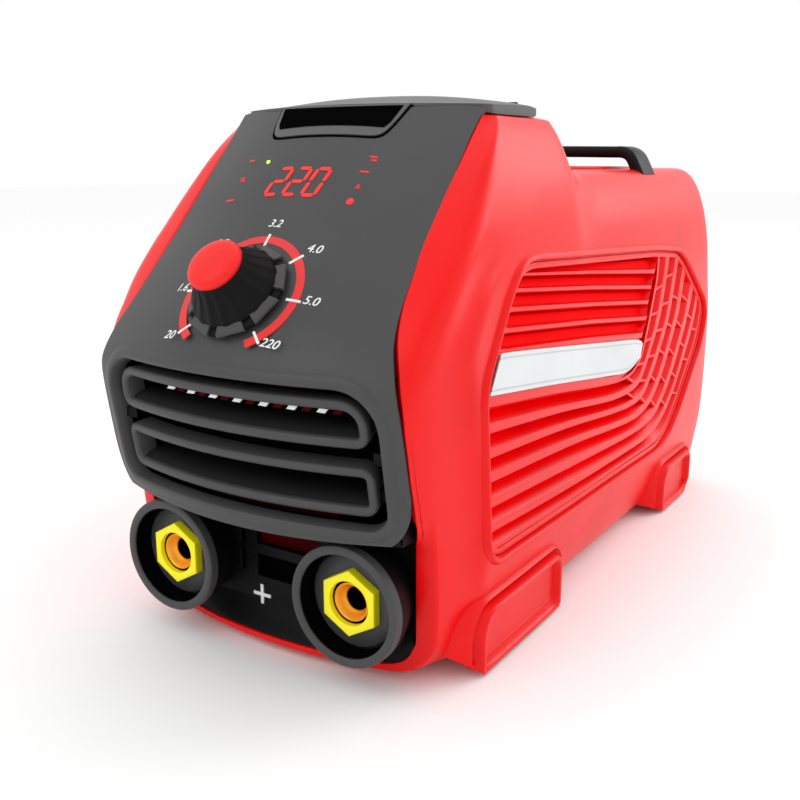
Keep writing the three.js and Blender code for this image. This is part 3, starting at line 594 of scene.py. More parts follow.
# ridge lines of the blades, top to bottom at the left, as (y, z)
UPPER_RIDGES = [
    [(-89, 156.8), (-14, 150.6), (73.5, 142.6)],
    [(-95.4, 151.2), (-14, 143.6), (67.5, 135.0)],
    [(-100.8, 144.4), (-14, 136.0), (62.4, 127.8)],
    [(-107.0, 137.0), (-14, 128.0), (59.0, 119.8)],
    [(-112.0, 129.6), (-14, 119.9), (52.5, 112.0)],
]
RIB = [(21.0, 94.6), (39.1, 95.2), (50.6, 100.4), (55.3, 106.6), (58.8, 112.6), (63.8, 120.2), (70.3, 129.6),
       (76.0, 138.4), (79.6, 149.6)]
LOWER_RIDGES = [
    [(-120.6, 112.0), (-64, 105.4), (-10, 98.2)] + RIB,
    [(-119.6, 101.6), (-51, 94.6), (5, 87.4), (33.2, 85.9), (49.9, 88.3), (58.8, 95.9), (66.0, 103.6),
     (74.0, 112.6),
     (82.0, 123.0), (88.5, 134.0), (96.2, 148.4)],
    [(-118.6, 91.3), (-50, 86.4), (12, 80.0), (42.0, 78.1), (57.1, 80.4), (67.7, 88.2), (76.6, 97.0),
     (85.8, 106.6),
     (94.8, 117.4), (102, 128.6), (112.6, 146.6)],
    [(-117.6, 81.5), (-36, 76.6), (20, 71.2), (47.3, 69.6), (66.0, 72.6), (79.8, 80.7), (89.0, 89.8),
     (97.6, 100.5),
     (106.5, 111.6), (114.6, 122.8), (124.6, 139.6)],
    [(-117.0, 70.9), (-35, 66.2), (28, 62.4), (60, 61.8), (79, 64.6), (92.4, 72.4), (102.2, 81.0),
     (111.7, 92.0),
     (121.7, 103.6), (131.1, 116.0), (140.6, 127.6)],
    [(-115.6, 60.1), (-34, 55.6), (40, 53.4), (70, 53.8), (90, 58.6), (106.8, 68.7), (117.1, 78.6),
     (127.5, 91.2),
     (139.2, 105.6), (148.6, 120.6)],
    [(-111.5, 49.6), (-34, 47.4), (40, 46.4), (86, 46.0), (102, 50.6), (115.5, 61.6), (131.5, 77.6),
     (147.6, 93.2),
     (156.2, 109.6), (155.4, 115.4)],
]


def ridge_points(line, count):
    pts = [spline([tuple(p) for p in line], (len(line) - 1) * k / 200) for k in range(201)]
    return [(p.x, p.y) for p in resample([(a, b, 0) for a, b in pts], count)]


def straight_points(line, count):
    return [(p.x, p.y) for p in resample([(a, b, 0) for a, b in line], count)]


def blade_field(ridges, count, profile, ends=None, points=ridge_points):
    """One sheet of louvre blades. profile rows are (share of the way from ridge to ridge, depth)."""
    lines = [points(r, count) for r in ridges]
    rows = []
    for k in range(len(lines) - 1):
        for j, (share, depth) in enumerate(profile):
            if j == 0 and k > 0:
                continue
            row = []
            for i in range(count):
                (ya, za), (yb, zb) = lines[k][i], lines[k + 1][i]
                y, z = lerp(ya, yb, share), lerp(za, zb, share)
                row.append(on_flank(y, z, -0.7 - depth * (ends(i / (count - 1)) if ends else 1)))
            rows.append(row)
    return grid(rows)


# ---------------------------------------------------------------- building: shells


def mirrored(obj, name, replaces=()):
    """The left-hand copy of a piece of the right-hand side."""
    other = obj.copy()
    other.data = obj.data.copy()
    other.name = name
    other.data.name = name
    other.data.transform(Matrix.Scale(-1, 4, (1, 0, 0)))
    other.data.flip_normals()
    bpy.context.scene.collection.objects.link(other)
    finish_mesh(other)
    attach(other, "housing")
    if replaces:
        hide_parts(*replaces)
    return other


def inside(point, loop):
    hit = False
    for (ax, ay), (bx, by) in zip(loop, loop[1:] + loop[:1]):
        if (ay > point[1]) != (by > point[1]) and point[0] < (bx - ax) * (point[1] - ay) / (by - ay) + ax:
            hit = not hit
    return hit


def open_hole(bm, loop, flat, wanted):
    """Cuts a clean hole along a loop. flat picks the two coordinates the loop is drawn in."""
    n = len(loop)
    for i in range(n):
        a, b = Vector(loop[i]), Vector(loop[(i + 1) % n])
        mid, half = (a + b) / 2, (b - a).length / 2 + 5.0
        faces = [f for f in bm.faces if wanted(f.calc_center_median() / MM)
                 and (Vector(flat(f.calc_center_median() / MM)) - mid).length < half]
        geom = list({v for f in faces for v in f.verts}) + list({e for f in faces for e in f.edges}) + faces
        t = (b - a).normalized()
        axis = Vector((1, 0, 0)) if flat(Vector((1, 2, 3))) == (2, 3) else Vector((0, 0, 1))
        across = Vector((0, t.x, t.y)) if axis.x else Vector((t.x, t.y, 0))
        spot = Vector((0, a.x, a.y)) if axis.x else Vector((a.x, a.y, 0))
        bmesh.ops.bisect_plane(bm, geom=geom, dist=1e-7, plane_co=spot * MM, plane_no=axis.cross(across))
    gone = [f for f in bm.faces if wanted(f.calc_center_median() / MM)
            and inside(flat(f.calc_center_median() / MM), loop)]
    bmesh.ops.delete(bm, geom=gone, context="FACES")


def build_shell():
    verts, faces = grid(shell_rows())
    shell = make("shell_right", verts, faces, RED)
    bm = bmesh.new()
    bm.from_mesh(shell.data)
    open_hole(bm, resample_2d(offset_loop(rounded_loop(FIELD, FIELD_ROUND), 3.0), 90), lambda p: (p.y, p.z),
              lambda p: p.x > 60 and 30 < p.z < 170)
    open_hole(bm, [p for p in round_rect(-46.5, 66, 46.5, 134, 13)], lambda p: (p.x, p.y),
              lambda p: p.z > 185 and p.x < 60)
    open_hole(bm, round_rect(-54, -82, 54, -42, 4), lambda p: (p.x, p.y), lambda p: p.z > 205 and p.x < 60)
    bmesh.ops.recalc_face_normals(bm, faces=bm.faces)
    bm.to_mesh(shell.data)
    bm.free()
    solid = shell.modifiers.new("wall", "SOLIDIFY")
    solid.thickness = 2.2 * MM
    solid.offset = -1
    apply_modifiers(shell, 30)
    return shell


shell_right = build_shell()
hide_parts("right_shell")
shell_left = mirrored(shell_right, "shell_left", ("left_shell",))

# ---------------------------------------------------------------- building: louvre field


def ends_upper(t):
    """Blends the upper bars into the surface at both ends."""
    return smoothstep(0.0, 0.05, t) * smoothstep(1.0, 0.985, t)


BLADE = [(0, 0), (0.18, 0.1), (0.22, 0.5), (0.235, 5.6), (0.28, 6.4), (0.48, 6.2), (0.64, 3.4), (0.76, 0.9),
         (0.82, 0.15), (1, 0)]
BAR = [(0, 0), (0.10, 0.1), (0.14, 0.5), (0.155, 6.4), (0.22, 6.8), (0.30, 6.6), (0.34, 4.4), (0.60, 3.7),
       (0.80, 3.2),
       (0.86, 0.5), (0.90, 0.05), (1, 0)]
BLANK = [(0, 0), (0.12, 0.1), (0.16, 1.6), (0.84, 1.6), (0.88, 0.2), (1, 0)]
TOP_RIDGE = [(-82, 159.4), (3, 155.6), (80.5, 151.4)]
UNDER_BADGE = [(-120.6, 112.0), (-64, 105.4), (-10, 98.2), (21, 94.6), (50.6, 100.4)]
field_parts = [blade_field([TOP_RIDGE] + UPPER_RIDGES, 90, BAR, ends_upper, straight_points),
               blade_field([UPPER_RIDGES[-1], UNDER_BADGE], 60, BLANK),
               blade_field(LOWER_RIDGES, 150, BLADE)]
blades_right = make("louvre_blades_right", *joined(*field_parts), RED, angle=28)
blades_right.data.materials.append(RED_RECESS_SHADE)
RECESS_DEPTH = 2.6 + 0.7  # faces further in than this take the painted recess shade
for face in blades_right.data.polygons:
    spot = face.center / MM
    if flank_x(spot.y, spot.z) - spot.x > RECESS_DEPTH:
        face.material_index = 1
louvre_solid = blades_right.modifiers.new("wall", "SOLIDIFY")
louvre_solid.thickness = 1.2 * MM
louvre_solid.offset = -1
apply_modifiers(blades_right, 28)
mirrored(blades_right, "louvre_blades_left")

outline = rounded_loop(FIELD, FIELD_ROUND)


def sheet_inside(points, out, rings=7):
    """A skin over the louvre field's outline, a fixed depth below the flank."""
    cy = sum(p[0] for p in points) / len(points)
    cz = sum(p[1] for p in points) / len(points)
    rows = []
    for k in range(rings + 1):
        s = 1 - k / rings * 0.98
        rows.append([on_flank(lerp(cy, p[0], s), lerp(cz, p[1], s), out) for p in points])
    return grid(rows, closed_u=True)


floor_loop = offset_loop(resample_2d(outline, 110), 2.0)
# the floor of the louvre field takes the painted recess shade
floor_right = make("louvre_floor_right", *sheet_inside(floor_loop, -8.4), RED_RECESS_SHADE)
mirrored(floor_right, "louvre_floor_left")


def flank_sweep(points, section):
    path = [on_flank(y, z) for y, z in points]
    return sweep(path, [flank_normal(y, z) for y, z in points], section)


# section of the raised frame round the louvres: (outwards from the outline, out of the flank)
RIM = [(-0.5, -6.0), (-0.4, -1.2), (-0.1, -0.7), (0.3, -0.5), (1.9, -0.35), (2.3, -0.6), (2.55, -1.3),
       (2.85, -1.3), (3.05, 0.6), (3.3, 1.3), (3.8, 1.75), (4.5, 1.8), (5.2, 1.35), (5.8, 0.4), (6.4, -0.15),
       (6.6, -1.6), (4.4, -4.0)]
rim_right = make("louvre_rim_right", *flank_sweep(resample_2d(outline, 260), RIM), RED, angle=40)
mirrored(rim_right, "louvre_rim_left")

# short links between the upright blades, staggered like brickwork: blade pair, then places along it
LINKS = {0: (0.66, 0.725, 0.79, 0.855, 0.92), 1: (0.62, 0.69, 0.755, 0.82, 0.885, 0.95),
         2: (0.655, 0.72, 0.785, 0.85, 0.915), 3: (0.69, 0.755, 0.82, 0.885, 0.945),
         4: (0.73, 0.80, 0.87, 0.935),
         5: (0.78, 0.86, 0.93)}
LINK_SECTION = [(-1.1, -4.5), (-1.0, -1.5), (-0.6, -0.9), (0.6, -0.9), (1.0, -1.5), (1.1, -4.5)]
link_parts = []
for pair, places in LINKS.items():
    upper, lower = ridge_points(LOWER_RIDGES[pair], 200), ridge_points(LOWER_RIDGES[pair + 1], 200)
    for place in places:
        i = int(place * 199)
        (ya, za), (yb, zb) = upper[i], lower[min(i + 3, 199)]
        rows = []
        for k in range(9):
            y, z = lerp(ya, yb, k / 8), lerp(za, zb, k / 8)
            rows.append([on_flank(y, z + w, d) for w, d in LINK_SECTION])
        link_parts.append(capped(rows))
links_right = make("louvre_links_right", *joined(*link_parts), RED, angle=40)
mirrored(links_right, "louvre_links_left")

# the badge's long edges as (y, z), from the front to the rear
BADGE_TOP = [(-108.4, 127.9), (-103.7, 128.3), (-60, 123.4), (0, 116.2), (40.8, 111.2), (50.0, 107.8)]
BADGE_LOW = [(-117.4, 114.4), (-113.5, 113.8), (-60, 107.6), (0, 99.9), (28.0, 97.0), (47.2, 101.0)]


def badge_point(t, s, out):
    a = spline(BADGE_TOP, t * (len(BADGE_TOP) - 1))
    b = spline(BADGE_LOW, t * (len(BADGE_LOW) - 1))
    return on_flank(lerp(a[0], b[0], s), lerp(a[1], b[1], s), out)


def badge_sheet(lo_t, hi_t, lo_s, hi_s, out, n=60, m=10, edge=-0.6):
    rows = []
    for i in range(n + 1):
        t = lerp(lo_t, hi_t, i / n)
        row = [badge_point(t, lo_s, edge)]
        row += [badge_point(t, lerp(lo_s, hi_s, j / m), out) for j in range(m + 1)]
        row.append(badge_point(t, hi_s, edge))
        rows.append(row)
    first = [badge_point(lo_t, clamp01(lerp(lo_s, hi_s, (j - 1) / m)), edge) for j in range(m + 3)]
    last = [badge_point(hi_t, clamp01(lerp(lo_s, hi_s, (j - 1) / m)), edge) for j in range(m + 3)]
    return grid([first] + rows + [last])


badge = make("badge_plate_right", *badge_sheet(0, 1, 0, 1, 0.5), SILVER, replaces=("badge_right",),
             slot="silver_plate")
mirrored(badge, "badge_plate_left", ("badge_left",))
bars = joined(badge_sheet(0.05, 0.93, 0.10, 0.14, 0.62, m=2, edge=0.3),
              badge_sheet(0.05, 0.93, 0.86, 0.90, 0.62, m=2, edge=0.3))
print_lines = make("badge_lines_right", *bars, SILVER_DARK)
mirrored(print_lines, "badge_lines_left")

# ---------------------------------------------------------------- building: feet


def foot(name, y0, y1, top, rear=False):
    """A moulded foot: rings from the flared foot of the wall out to a rimmed arch with a shallow recess."""
    cy = (y0 + y1) / 2

    def ring(x, grow, radius, low):
        """One ring at a distance from the centre plane, grown past the foot's outline."""
        low = 2.0 + grow * (0.4 if rear else 0.8) if grow > 0 else low
        lo, hi, peak = y0 - grow, y1 + grow, top + grow * 0.62
        r1, r2 = min(radius + 6.0, peak - low - 1), min(radius, peak - low - 1)
        pts = [(lo, low)]
        for k in range(13):
            a = math.pi - math.pi / 2 * k / 12
            pts.append((lo + r1 + r1 * math.cos(a), peak - r1 + r1 * math.sin(a)))
        for k in range(11):
            a = math.pi / 2 - math.pi / 2 * k / 10
            pts.append((hi - r2 + r2 * math.cos(a), peak - r2 + r2 * math.sin(a)))
        if rear:
            pts.append((hi, max(low + 1, peak - 17.0)))
            pts.append((hi - 9.0, low))
        else:
            pts.append((hi, low + 1.5))
            pts.append((hi - 1.5, low))
        flat = []
        for a, b in zip(pts, pts[1:]):
            steps = 5 if b in (pts[1], pts[14], pts[-2]) else 1
            flat += [(lerp(a[0], b[0], k / steps), lerp(a[1], b[1], k / steps)) for k in range(steps)]
        flat.append(pts[-1])
        for k in range(1, 8):
            flat.append((lerp(pts[-1][0], lo, k / 8), low))
        return [Vector((x, y, z)) for y, z in flat]
    steps = [(66.0, 14.0, 16, 3.6), (73.5, 12.5, 14, 3.2), (77.0, 10.4, 13, 2.8), (80.8, 8.0, 11, 2.4),
             (82.6, 6.4, 10, 2.2), (83.3, 5.4, 9, 2.1), (82.6, 4.5, 8.5, 2.1), (80.2, 4.0, 8, 2.1),
             (79.6, 3.2, 7.5, 2.0), (80.4, 2.3, 7, 1.8), (84.4, 1.4, 6.2, 1.7), (85.6, 0.7, 5.6, 1.6),
             (86.0, 0.0, 5.2, 1.6), (86.0, -1.4, 4.6, 2.4), (85.6, -2.2, 4.2, 3.2), (84.2, -2.9, 3.8, 3.8),
             (83.4, -3.6, 3.2, 4.2), (83.2, -5.5, 2.6, 5.0)]
    rings = [ring(*step) for step in steps]
    inner = rings[-1]
    centre = Vector((steps[-1][0], cy, top * 0.5))
    rings += [[p.lerp(centre, s) for p in inner] for s in (0.4, 0.75, 1.0)]
    verts, faces = grid(rings, closed_u=True)
    obj = make(name + "_right", verts, faces, RED, angle=42)
    mirrored(obj, name + "_left")


foot("foot_block_front", -122.0, -47.6, 26.4)
foot("foot_block_rear", 98.0, 147.5, 26.0, rear=True)

# ---------------------------------------------------------------- building: fascia

# the control face's centre line as (y, z) points, from the bottom to the top
CENTRE = [(-169.9, 58.0), (-172.6, 74.0), (-175.8, 92.0), (-178.2, 106.0), (-179.4, 115.0), (-179.2, 122.0),
          (-177.3, 128.5), (-173.8, 135.4), (-168.4, 143.2), (-161.0, 151.5), (-148.0, 165.44),
          (-134.0, 180.45),
          (-120.0, 195.46), (-106.0, 210.5), (-94.5, 222.8)]
ALONG = resample([(0, *spline(CENTRE, (len(CENTRE) - 1) * k / 400)) for k in range(401)], 121)


def fascia_frame(i):
    """Point, outward normal and direction at a place up the centre line; past the top it runs on straight."""
    k = min(max(int(i), 0), len(ALONG) - 2)
    a, b = ALONG[max(k - 1, 0)], ALONG[min(k + 2, len(ALONG) - 1)]
    t = (b - a).normalized()
    return ALONG[k] + (ALONG[k + 1] - ALONG[k]) * (i - k), Vector((0, -t.z, t.y)), t


def fascia_point(i, u, out=0.0):
    """i runs up the centre line, u is -1..1 across."""
    p, n, t = fascia_frame(i)
    w = 70.0
    for _ in range(6):
        z_edge = p.z - n.z * w * w / (2 * CROWN)
        w = table(FRONT_EDGE, z_edge)[1] - 0.1
        if p.z < 80:
            w = min(w,
                    62.0 + 13.0 * math.sqrt(max(0.0, 1 - ((80.0 - p.z) / 18.5) ** 2)) if p.z > 61.5 else 62.0)
    x = u * w
    return Vector((x, p.y, p.z)) - n * (x * x / (2 * CROWN)) + n * out


def opening_outline(inset, top=17.0, low=9.0, steps=8):
    """The vent opening as (x, z), with larger corners at the top."""
    x1, z0, z1 = 67.6 - inset, 68.8 + inset, 124.2 - inset
    out = []
    for cx, cz, r, a0 in ((x1 - low, z0 + low, low, -90), (x1 - top, z1 - top, top, 0),
                          (top - x1, z1 - top, top, 90), (low - x1, z0 + low, low, 180)):
        for k in range(steps + 1):
            a = math.radians(a0 + 90 * k / steps)
            out.append((cx + r * math.cos(a), cz + r * math.sin(a)))
    return out


def build_fascia():
    start = min(i for i in range(121) if ALONG[i].z >= 61.8)
    rows = []
    for k in range(110):
        row = []
        for j in range(49):
            u = -1 + 2 * j / 48
            top = 119.0 + 3.6 * smoothstep(0.45, 1.0, abs(u))
            row.append(fascia_point(lerp(start, top, k / 109), u))
        rows.append(row)
    obj = make("fascia_front", *grid(rows), GREY, replaces=("front_fascia",), slot="grey_plastic")
    m = obj.modifiers.new("wall", "SOLIDIFY")
    m.thickness = 3.0 * MM
    m.offset = -1
    apply_modifiers(obj)
    boolean(obj, [loose("cut_opening", *prism(opening_outline(0.0), "y", -200, -140))])
    bevel(obj, 0.9, 3, 50)


def front_y(x, z):
    """y of the fascia's outer surface at (x, z), in its upright lower part."""
    for a, b in zip(ALONG, ALONG[1:]):
        if a.z <= z <= b.z:
            return lerp(a.y, b.y, (z - a.z) / (b.z - a.z)) + x * x / (2 * CROWN)
    return ALONG[0].y + x * x / (2 * CROWN)


build_fascia()


def front_sweep(points, section, setback=0.0):
    """Carries a section round a closed (x, z) outline on the crowned front; across is outwards."""
    path = [Vector((x, front_y(x, z) + setback, z)) for x, z in points]
    normals = []
    for x, z in points:
        dz = front_y(x, z + 1) - front_y(x, z - 1)
        normals.append(Vector((x / CROWN, -1, dz / 2)).normalized())
    return sweep(path, normals, section)


opening_line = resample_2d(list(reversed(opening_outline(0.0))), 180)
BEZEL = [(0.5, -6.0), (-0.9, -6.0), (-1.0, -0.5), (-0.6, 0.2), (0.3, 0.5), (1.6, 0.5), (3.0, 0.2),
         (4.0, -0.5),
         (0.8, -2.0)]
make("fascia_bezel", *front_sweep(opening_line, BEZEL), GREY, angle=50)

RING_SECTION = [(1.7, -8.5), (-1.9, -8.5), (-2.05, -1.4), (-1.6, -0.5), (-0.6, 0.05), (0.7, 0.05),
                (1.5, -0.5),
                (1.8, -1.4)]
SCOOP_STEPS = [(0.6, 3.2), (2.0, 4.0), (5.0, 5.4), (9.0, 6.6), (14.0, 7.2),
               (22.0, 7.4)]  # depth, height over the ring
RING_SETBACK = 2.6


def louvre_ring(name, low, high, half, corner, node):
    """An oblong ring on the crowned front, with the sloping scoop behind it."""
    out = []
    x1, z0, z1, low_r = half - 1.8, low + 1.8, high - 1.8, 3.4
    for cx, cz, r, a0 in ((x1 - low_r, z0 + low_r, low_r, -90), (x1 - corner, z1 - corner, corner, 0),
                          (corner - x1, z1 - corner, corner, 90), (low_r - x1, z0 + low_r, low_r, 180)):
        for k in range(9):
            a = math.radians(a0 + 90 * k / 8)
            out.append((cx + r * math.cos(a), cz + r * math.sin(a)))
    ring = front_sweep(resample_2d(list(reversed(out)), 180), RING_SECTION, setback=RING_SETBACK)
    make(name, *ring, GREY, replaces=(node,), slot="grey_plastic", angle=45)
    across = [lerp(-half + 3, half - 3, j / 40) for j in range(41)]
    rows = [[Vector((x, front_y(x, low + rise) + depth + RING_SETBACK, low + rise)) for x in across]
            for depth, rise in SCOOP_STEPS]
    make(name + "_scoop", *grid(rows), SCOOP, angle=60)


louvre_ring("louvre_ring_upper", 101.0, 119.2, 61.8, 8.5, "upper_louvre")
louvre_ring("louvre_ring_lower", 74.4, 93.8, 62.4, 3.4, "lower_louvre")

# ---------------------------------------------------------------- building: control face

SEGMENTS = {"a": ((-1, 2), (1, 2)), "b": ((1, 2), (1, 0)), "c": ((1, 0), (1, -2)), "d": ((-1, -2), (1, -2)),
            "e": ((-1, 0), (-1, -2)), "f": ((-1, 2), (-1, 0)), "g": ((-1, 0), (1, 0))}
DIGITS = {"0": "abcdef", "2": "abged"}


def digit_parts(char, u, v, width, height, bar, lean):
    """The lit segments of one digit, as thin solids on the control face."""
    parts = []
    for key, ((xa, ya), (xb, yb)) in SEGMENTS.items():
        if key not in DIGITS[char]:
            continue
        a = Vector((xa * width / 2, ya * height / 4))
        b = Vector((xb * width / 2, yb * height / 4))
        d = (b - a).normalized()
        s = Vector((-d.y, d.x)) * bar / 2
        a2, b2 = a + d * 0.35, b - d * 0.35
        tip = bar / 2
        shape = [a2, a2 + d * tip + s, b2 - d * tip + s, b2, b2 - d * tip - s, a2 + d * tip - s]
        pts = [(u + p.x + p.y * lean, v + p.y) for p in shape]
        parts.append(slab([on_face(x, y, 0.05) for x, y in pts], [on_face(x, y, 0.32) for x, y in pts]))
    return parts


lit_parts = []
for char, u in (("2", -10.3), ("2", -0.9), ("0", 8.5)):
    lit_parts += digit_parts(char, u, 54.7, 6.2, 13.6, 1.5, 0.16)
make("display_digits", *joined(*lit_parts), GLOW_RED, replaces=("display_module",), slot="display_red",
     angle=60)
window_rows = [[on_face(lerp(-20.5, 20.5, j / 20), lerp(44.8, 64.6, i / 8),
                        -0.5) for j in range(21)] for i in range(9)]
make("display_window_face", *grid(window_rows), WINDOW, replaces=("display_window",))
LED_LENS = [(0.01, 0.7), (0.5, 0.6), (0.85, 0.25), (1.0, -0.4), (0.01, -0.5)]
make("led_lens", *lathe(LED_LENS, 32, face_matrix(-22.7, 66.0)), GLOW_GREEN, replaces=("indicator_led",),
     slot="led_green")


def height_to_v(z):
    """The place up the control face's slope that lies at a height above the floor."""
    return (z - FACE_Z) / FACE_SIN


def bars_mark(u, z, half, thick=0.45, lean=0.25):
    """A small slanted bar on the control face, in place of a word or symbol."""
    v, slant = height_to_v(z), lean * thick
    pts = [(u - half - slant, v - thick), (u + half - slant, v - thick), (u + half + slant, v + thick),
           (u - half + slant, v + thick)]
    return slab([on_face(x, y, -0.2) for x, y in pts], [on_face(x, y, 0.16) for x, y in pts])


make("mode_marks",
     *joined(bars_mark(-33.4, 201.2, 1.6), bars_mark(-33.0, 194.0, 1.3), bars_mark(-32.2, 193.0, 1.3),
                           bars_mark(-33.4, 185.4, 2.4)), GLOW_DIM)
make("fault_marks",
     *joined(bars_mark(28.0, 202.2, 1.7), bars_mark(28.8, 201.0, 1.2), bars_mark(27.2, 196.6, 1.9),
                            bars_mark(27.6, 191.6, 0.6), bars_mark(27.6, 190.8, 0.9)), GLOW_DIM)
MARK_LENS = [(0.01, 0.3), (1.5, 0.28), (1.6, -0.2), (0.01, -0.3)]
make("fault_mark_lit", *lathe(MARK_LENS, 24, face_matrix(27.4, height_to_v(185.8))), GLOW_RED)


def dial_point(radius, angle, height):
    a = math.radians(angle)
    return on_face(radius * math.sin(a), radius * math.cos(a), height)


def dial_arc(r0, r1, a0, a1, height=0.22, n=96):
    """A raised band round the knob between two angles, in degrees from straight up."""
    rows = []
    for k in range(n + 1):
        a = lerp(a0, a1, k / n)
        rows.append([dial_point(r0, a, -0.3), dial_point(r0, a, height), dial_point(r1, a, height),
                     dial_point(r1, a, -0.3)])
    return capped(rows)


make("dial_ring", *dial_arc(23.6, 27.0, -146, 146), RED_PRINT, angle=50)
DIAL_MARKS = [("20", -135), ("1.6", -90), ("2.5", -45), ("3.2", 0), ("4.0", 45), ("5.0", 90), ("220", 135)]
ticks = []
for _, angle in DIAL_MARKS:
    a = math.radians(angle)
    d, s = Vector((math.sin(a), math.cos(a))), Vector((math.cos(a), -math.sin(a)))
    pts = [d * 21.8 + s * 0.5, d * 28.0 + s * 0.5, d * 28.0 - s * 0.5, d * 21.8 - s * 0.5]
    ticks.append(slab([on_face(p.x, p.y, 0.0) for p in pts], [on_face(p.x, p.y, 0.34) for p in pts]))
make("dial_ticks", *joined(*ticks), WHITE_PRINT, angle=50)


def number(name, text, u, v, size, mat):
    """A printed number on the control face, bent to its crown and slanted a little."""
    curve = bpy.data.curves.new(name, "FONT")
    curve.body = text
    curve.size = size * MM
    curve.align_x = "CENTER"
    curve.align_y = "CENTER"
    curve.extrude = 0.12 * MM
    temp = bpy.data.objects.new(name + "_curve", curve)
    bpy.context.scene.collection.objects.link(temp)
    bpy.context.view_layer.update()
    dg = bpy.context.evaluated_depsgraph_get()
    mesh = bpy.data.meshes.new_from_object(temp.evaluated_get(dg))
    bpy.data.objects.remove(temp)
    for vert in mesh.vertices:
        p = vert.co / MM
        vert.co = on_face(u + p.x + 0.22 * p.y, v + p.y, 0.14 + p.z) * MM
    obj = bpy.data.objects.new(name, mesh)
    bpy.context.scene.collection.objects.link(obj)
    mesh.materials.clear()
    mesh.materials.append(mat)
    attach(obj, "housing")


LABELS = {"20": (-131, 31.4), "1.6": (-87, 31.8), "2.5": (-45, 32.9), "3.2": (0, 33.2), "4.0": (45, 32.9),
          "5.0": (88, 32.2), "220": (128, 31.0)}
for text, (angle, reach) in LABELS.items():
    a = math.radians(angle)
    number("dial_number_" + text.replace(".", "_"), text, reach * math.sin(a), reach * math.cos(a), 5.2,
           WHITE_PRINT)

# ---------------------------------------------------------------- building: knob


def knob_ring(radius, height, depth, half, count, segments=192):
    """A circle with evenly spaced notches: their depth in mm, their half width in degrees and their count."""
    out = []
    for k in range(segments):
        a = 2 * math.pi * k / segments
        rel = (math.degrees(a) % (360 / count)) - 180 / count
        r = radius
        if depth:
            edge = 180 / count - abs(rel)
            r -= depth * smoothstep(half * 1.35, half * 0.75, edge)
        out.append(Vector((r * math.cos(a), r * math.sin(a), height)))
    return out


place = face_matrix(0, 0)
base_disc = [(0.01, 0.35), (19.4, 0.35), (20.3, 0.7), (20.3, 1.5), (19.6, 2.1), (13.0, 3.2), (0.01, 3.2)]
make("knob_skirt_disc", *lathe(base_disc, 96, place), BLACK, "knob", ("knob_skirt",), "grey_plastic", 40)


def facet(middle, half):
    """One sloping grey facet of the skirt; the gaps between facets are its notches."""
    rows = []
    for k in range(9):
        a = math.radians(middle + lerp(-half, half, k / 8))
        flat = 1 / math.cos(a - math.radians(middle)) * math.cos(math.radians(half * 0.6))
        ring = [(14.0, 2.0), (20.2 * flat, 0.9), (20.9 * flat, 1.3), (20.8 * flat, 2.2), (20.2 * flat, 2.8),
                (15.4, 4.4), (14.0, 4.4)]
        rows.append([Vector((r * math.cos(a), r * math.sin(a), h)) for r, h in ring])
    return capped(rows)


facet_parts = joined(*[facet(22.5 + 45 * k, 16.5) for k in range(8)])
facets = make("knob_skirt_facets", *moved(facet_parts, place), GREY, "knob", angle=30)
bevel(facets, 0.25, 2, 40)
body_rings = [knob_ring(r, h, d, 5.2, 18) for r, h, d in
              ((8, 3.0, 0), (17.9, 3.2, 0.3), (17.8, 4.6, 0.4), (17.0, 6.0, 0.5), (15.2, 8.4, 0.5),
               (13.2, 11.0, 0.5),
               (11.8, 13.6, 0.4), (11.0, 15.4, 0.1), (10.5, 16.0, 0), (6, 16.1, 0))]
make("knob_body", *moved(grid(body_rings, closed_u=True), place), BLACK, "knob", ("control_knob",),
     "black_plastic",
     32)
cap_profile = [(0.01, 20.6), (2.2, 20.55), (4.4, 20.4), (6.6, 20.1), (8.6, 19.6), (10.0, 18.9), (10.8, 18.0),
               (11.05, 17.2), (11.0, 16.3), (10.6, 15.8), (0.01, 15.8)]
make("knob_cap_dome", *lathe(cap_profile, 96, place), CAP, "knob", ("knob_cap",), "red_plastic", 40)

# ---------------------------------------------------------------- building: lid


def lid_edge(x):
    """y of the lid's front edge, which bows forward in the middle."""
    return -95.4 + 13.9 * (abs(x) / 62.4) ** 2.1


def build_lid():
    """The lid as cuts across its width, closer together towards its rounded corners."""
    n, m, half = 48, 26, 61.9
    rows = []
    for i in range(n + 1):
        x = half * math.sin(math.pi / 2 * lerp(-1, 1, i / n))
        f = abs(x) / half
        corner = 3.4 * (1 - math.sqrt(max(0.0, 1 - max(0.0, (f - 0.94) / 0.06) ** 2)))
        front = lid_edge(x) + corner
        rear = -36.8 - corner
        crown = 226.7 - 5.0 * f ** 2.4
        low = 218.5 - 1.1 * f ** 4
        row = [Vector((x, front + 2, low)), Vector((x, front + 0.1, low + 0.25)),
               Vector((x, front - 0.1, low + 0.9))]
        lip = 221.8 - 0.7 * f ** 2
        for j in range(m + 1):
            t = j / m
            y = lerp(front, rear, t)
            rise = smoothstep(-0.05, 0.62, t) ** 0.8 * smoothstep(1.0, 0.84, t)
            row.append(Vector((x, y, max(low + 1.2, lerp(lip, crown, rise)))))
        row += [Vector((x, rear + 0.1, low + 0.8)), Vector((x, rear - 2, low))]
        rows.append(row)
    return capped(rows)


lid = make("lid_plate", *build_lid(), LID, "lid", ("storage_lid",), "lid_plastic", 30)
bevel(lid, 0.5, 2, 45)


def tab_point(u, z, out):
    """A point on the control face at height z; at the top it is level with the lid's edge."""
    level = smoothstep(213, 221, z) * FACE_U.y * u * u / (2 * CROWN)
    return on_face(u, height_to_v(z + level), out)


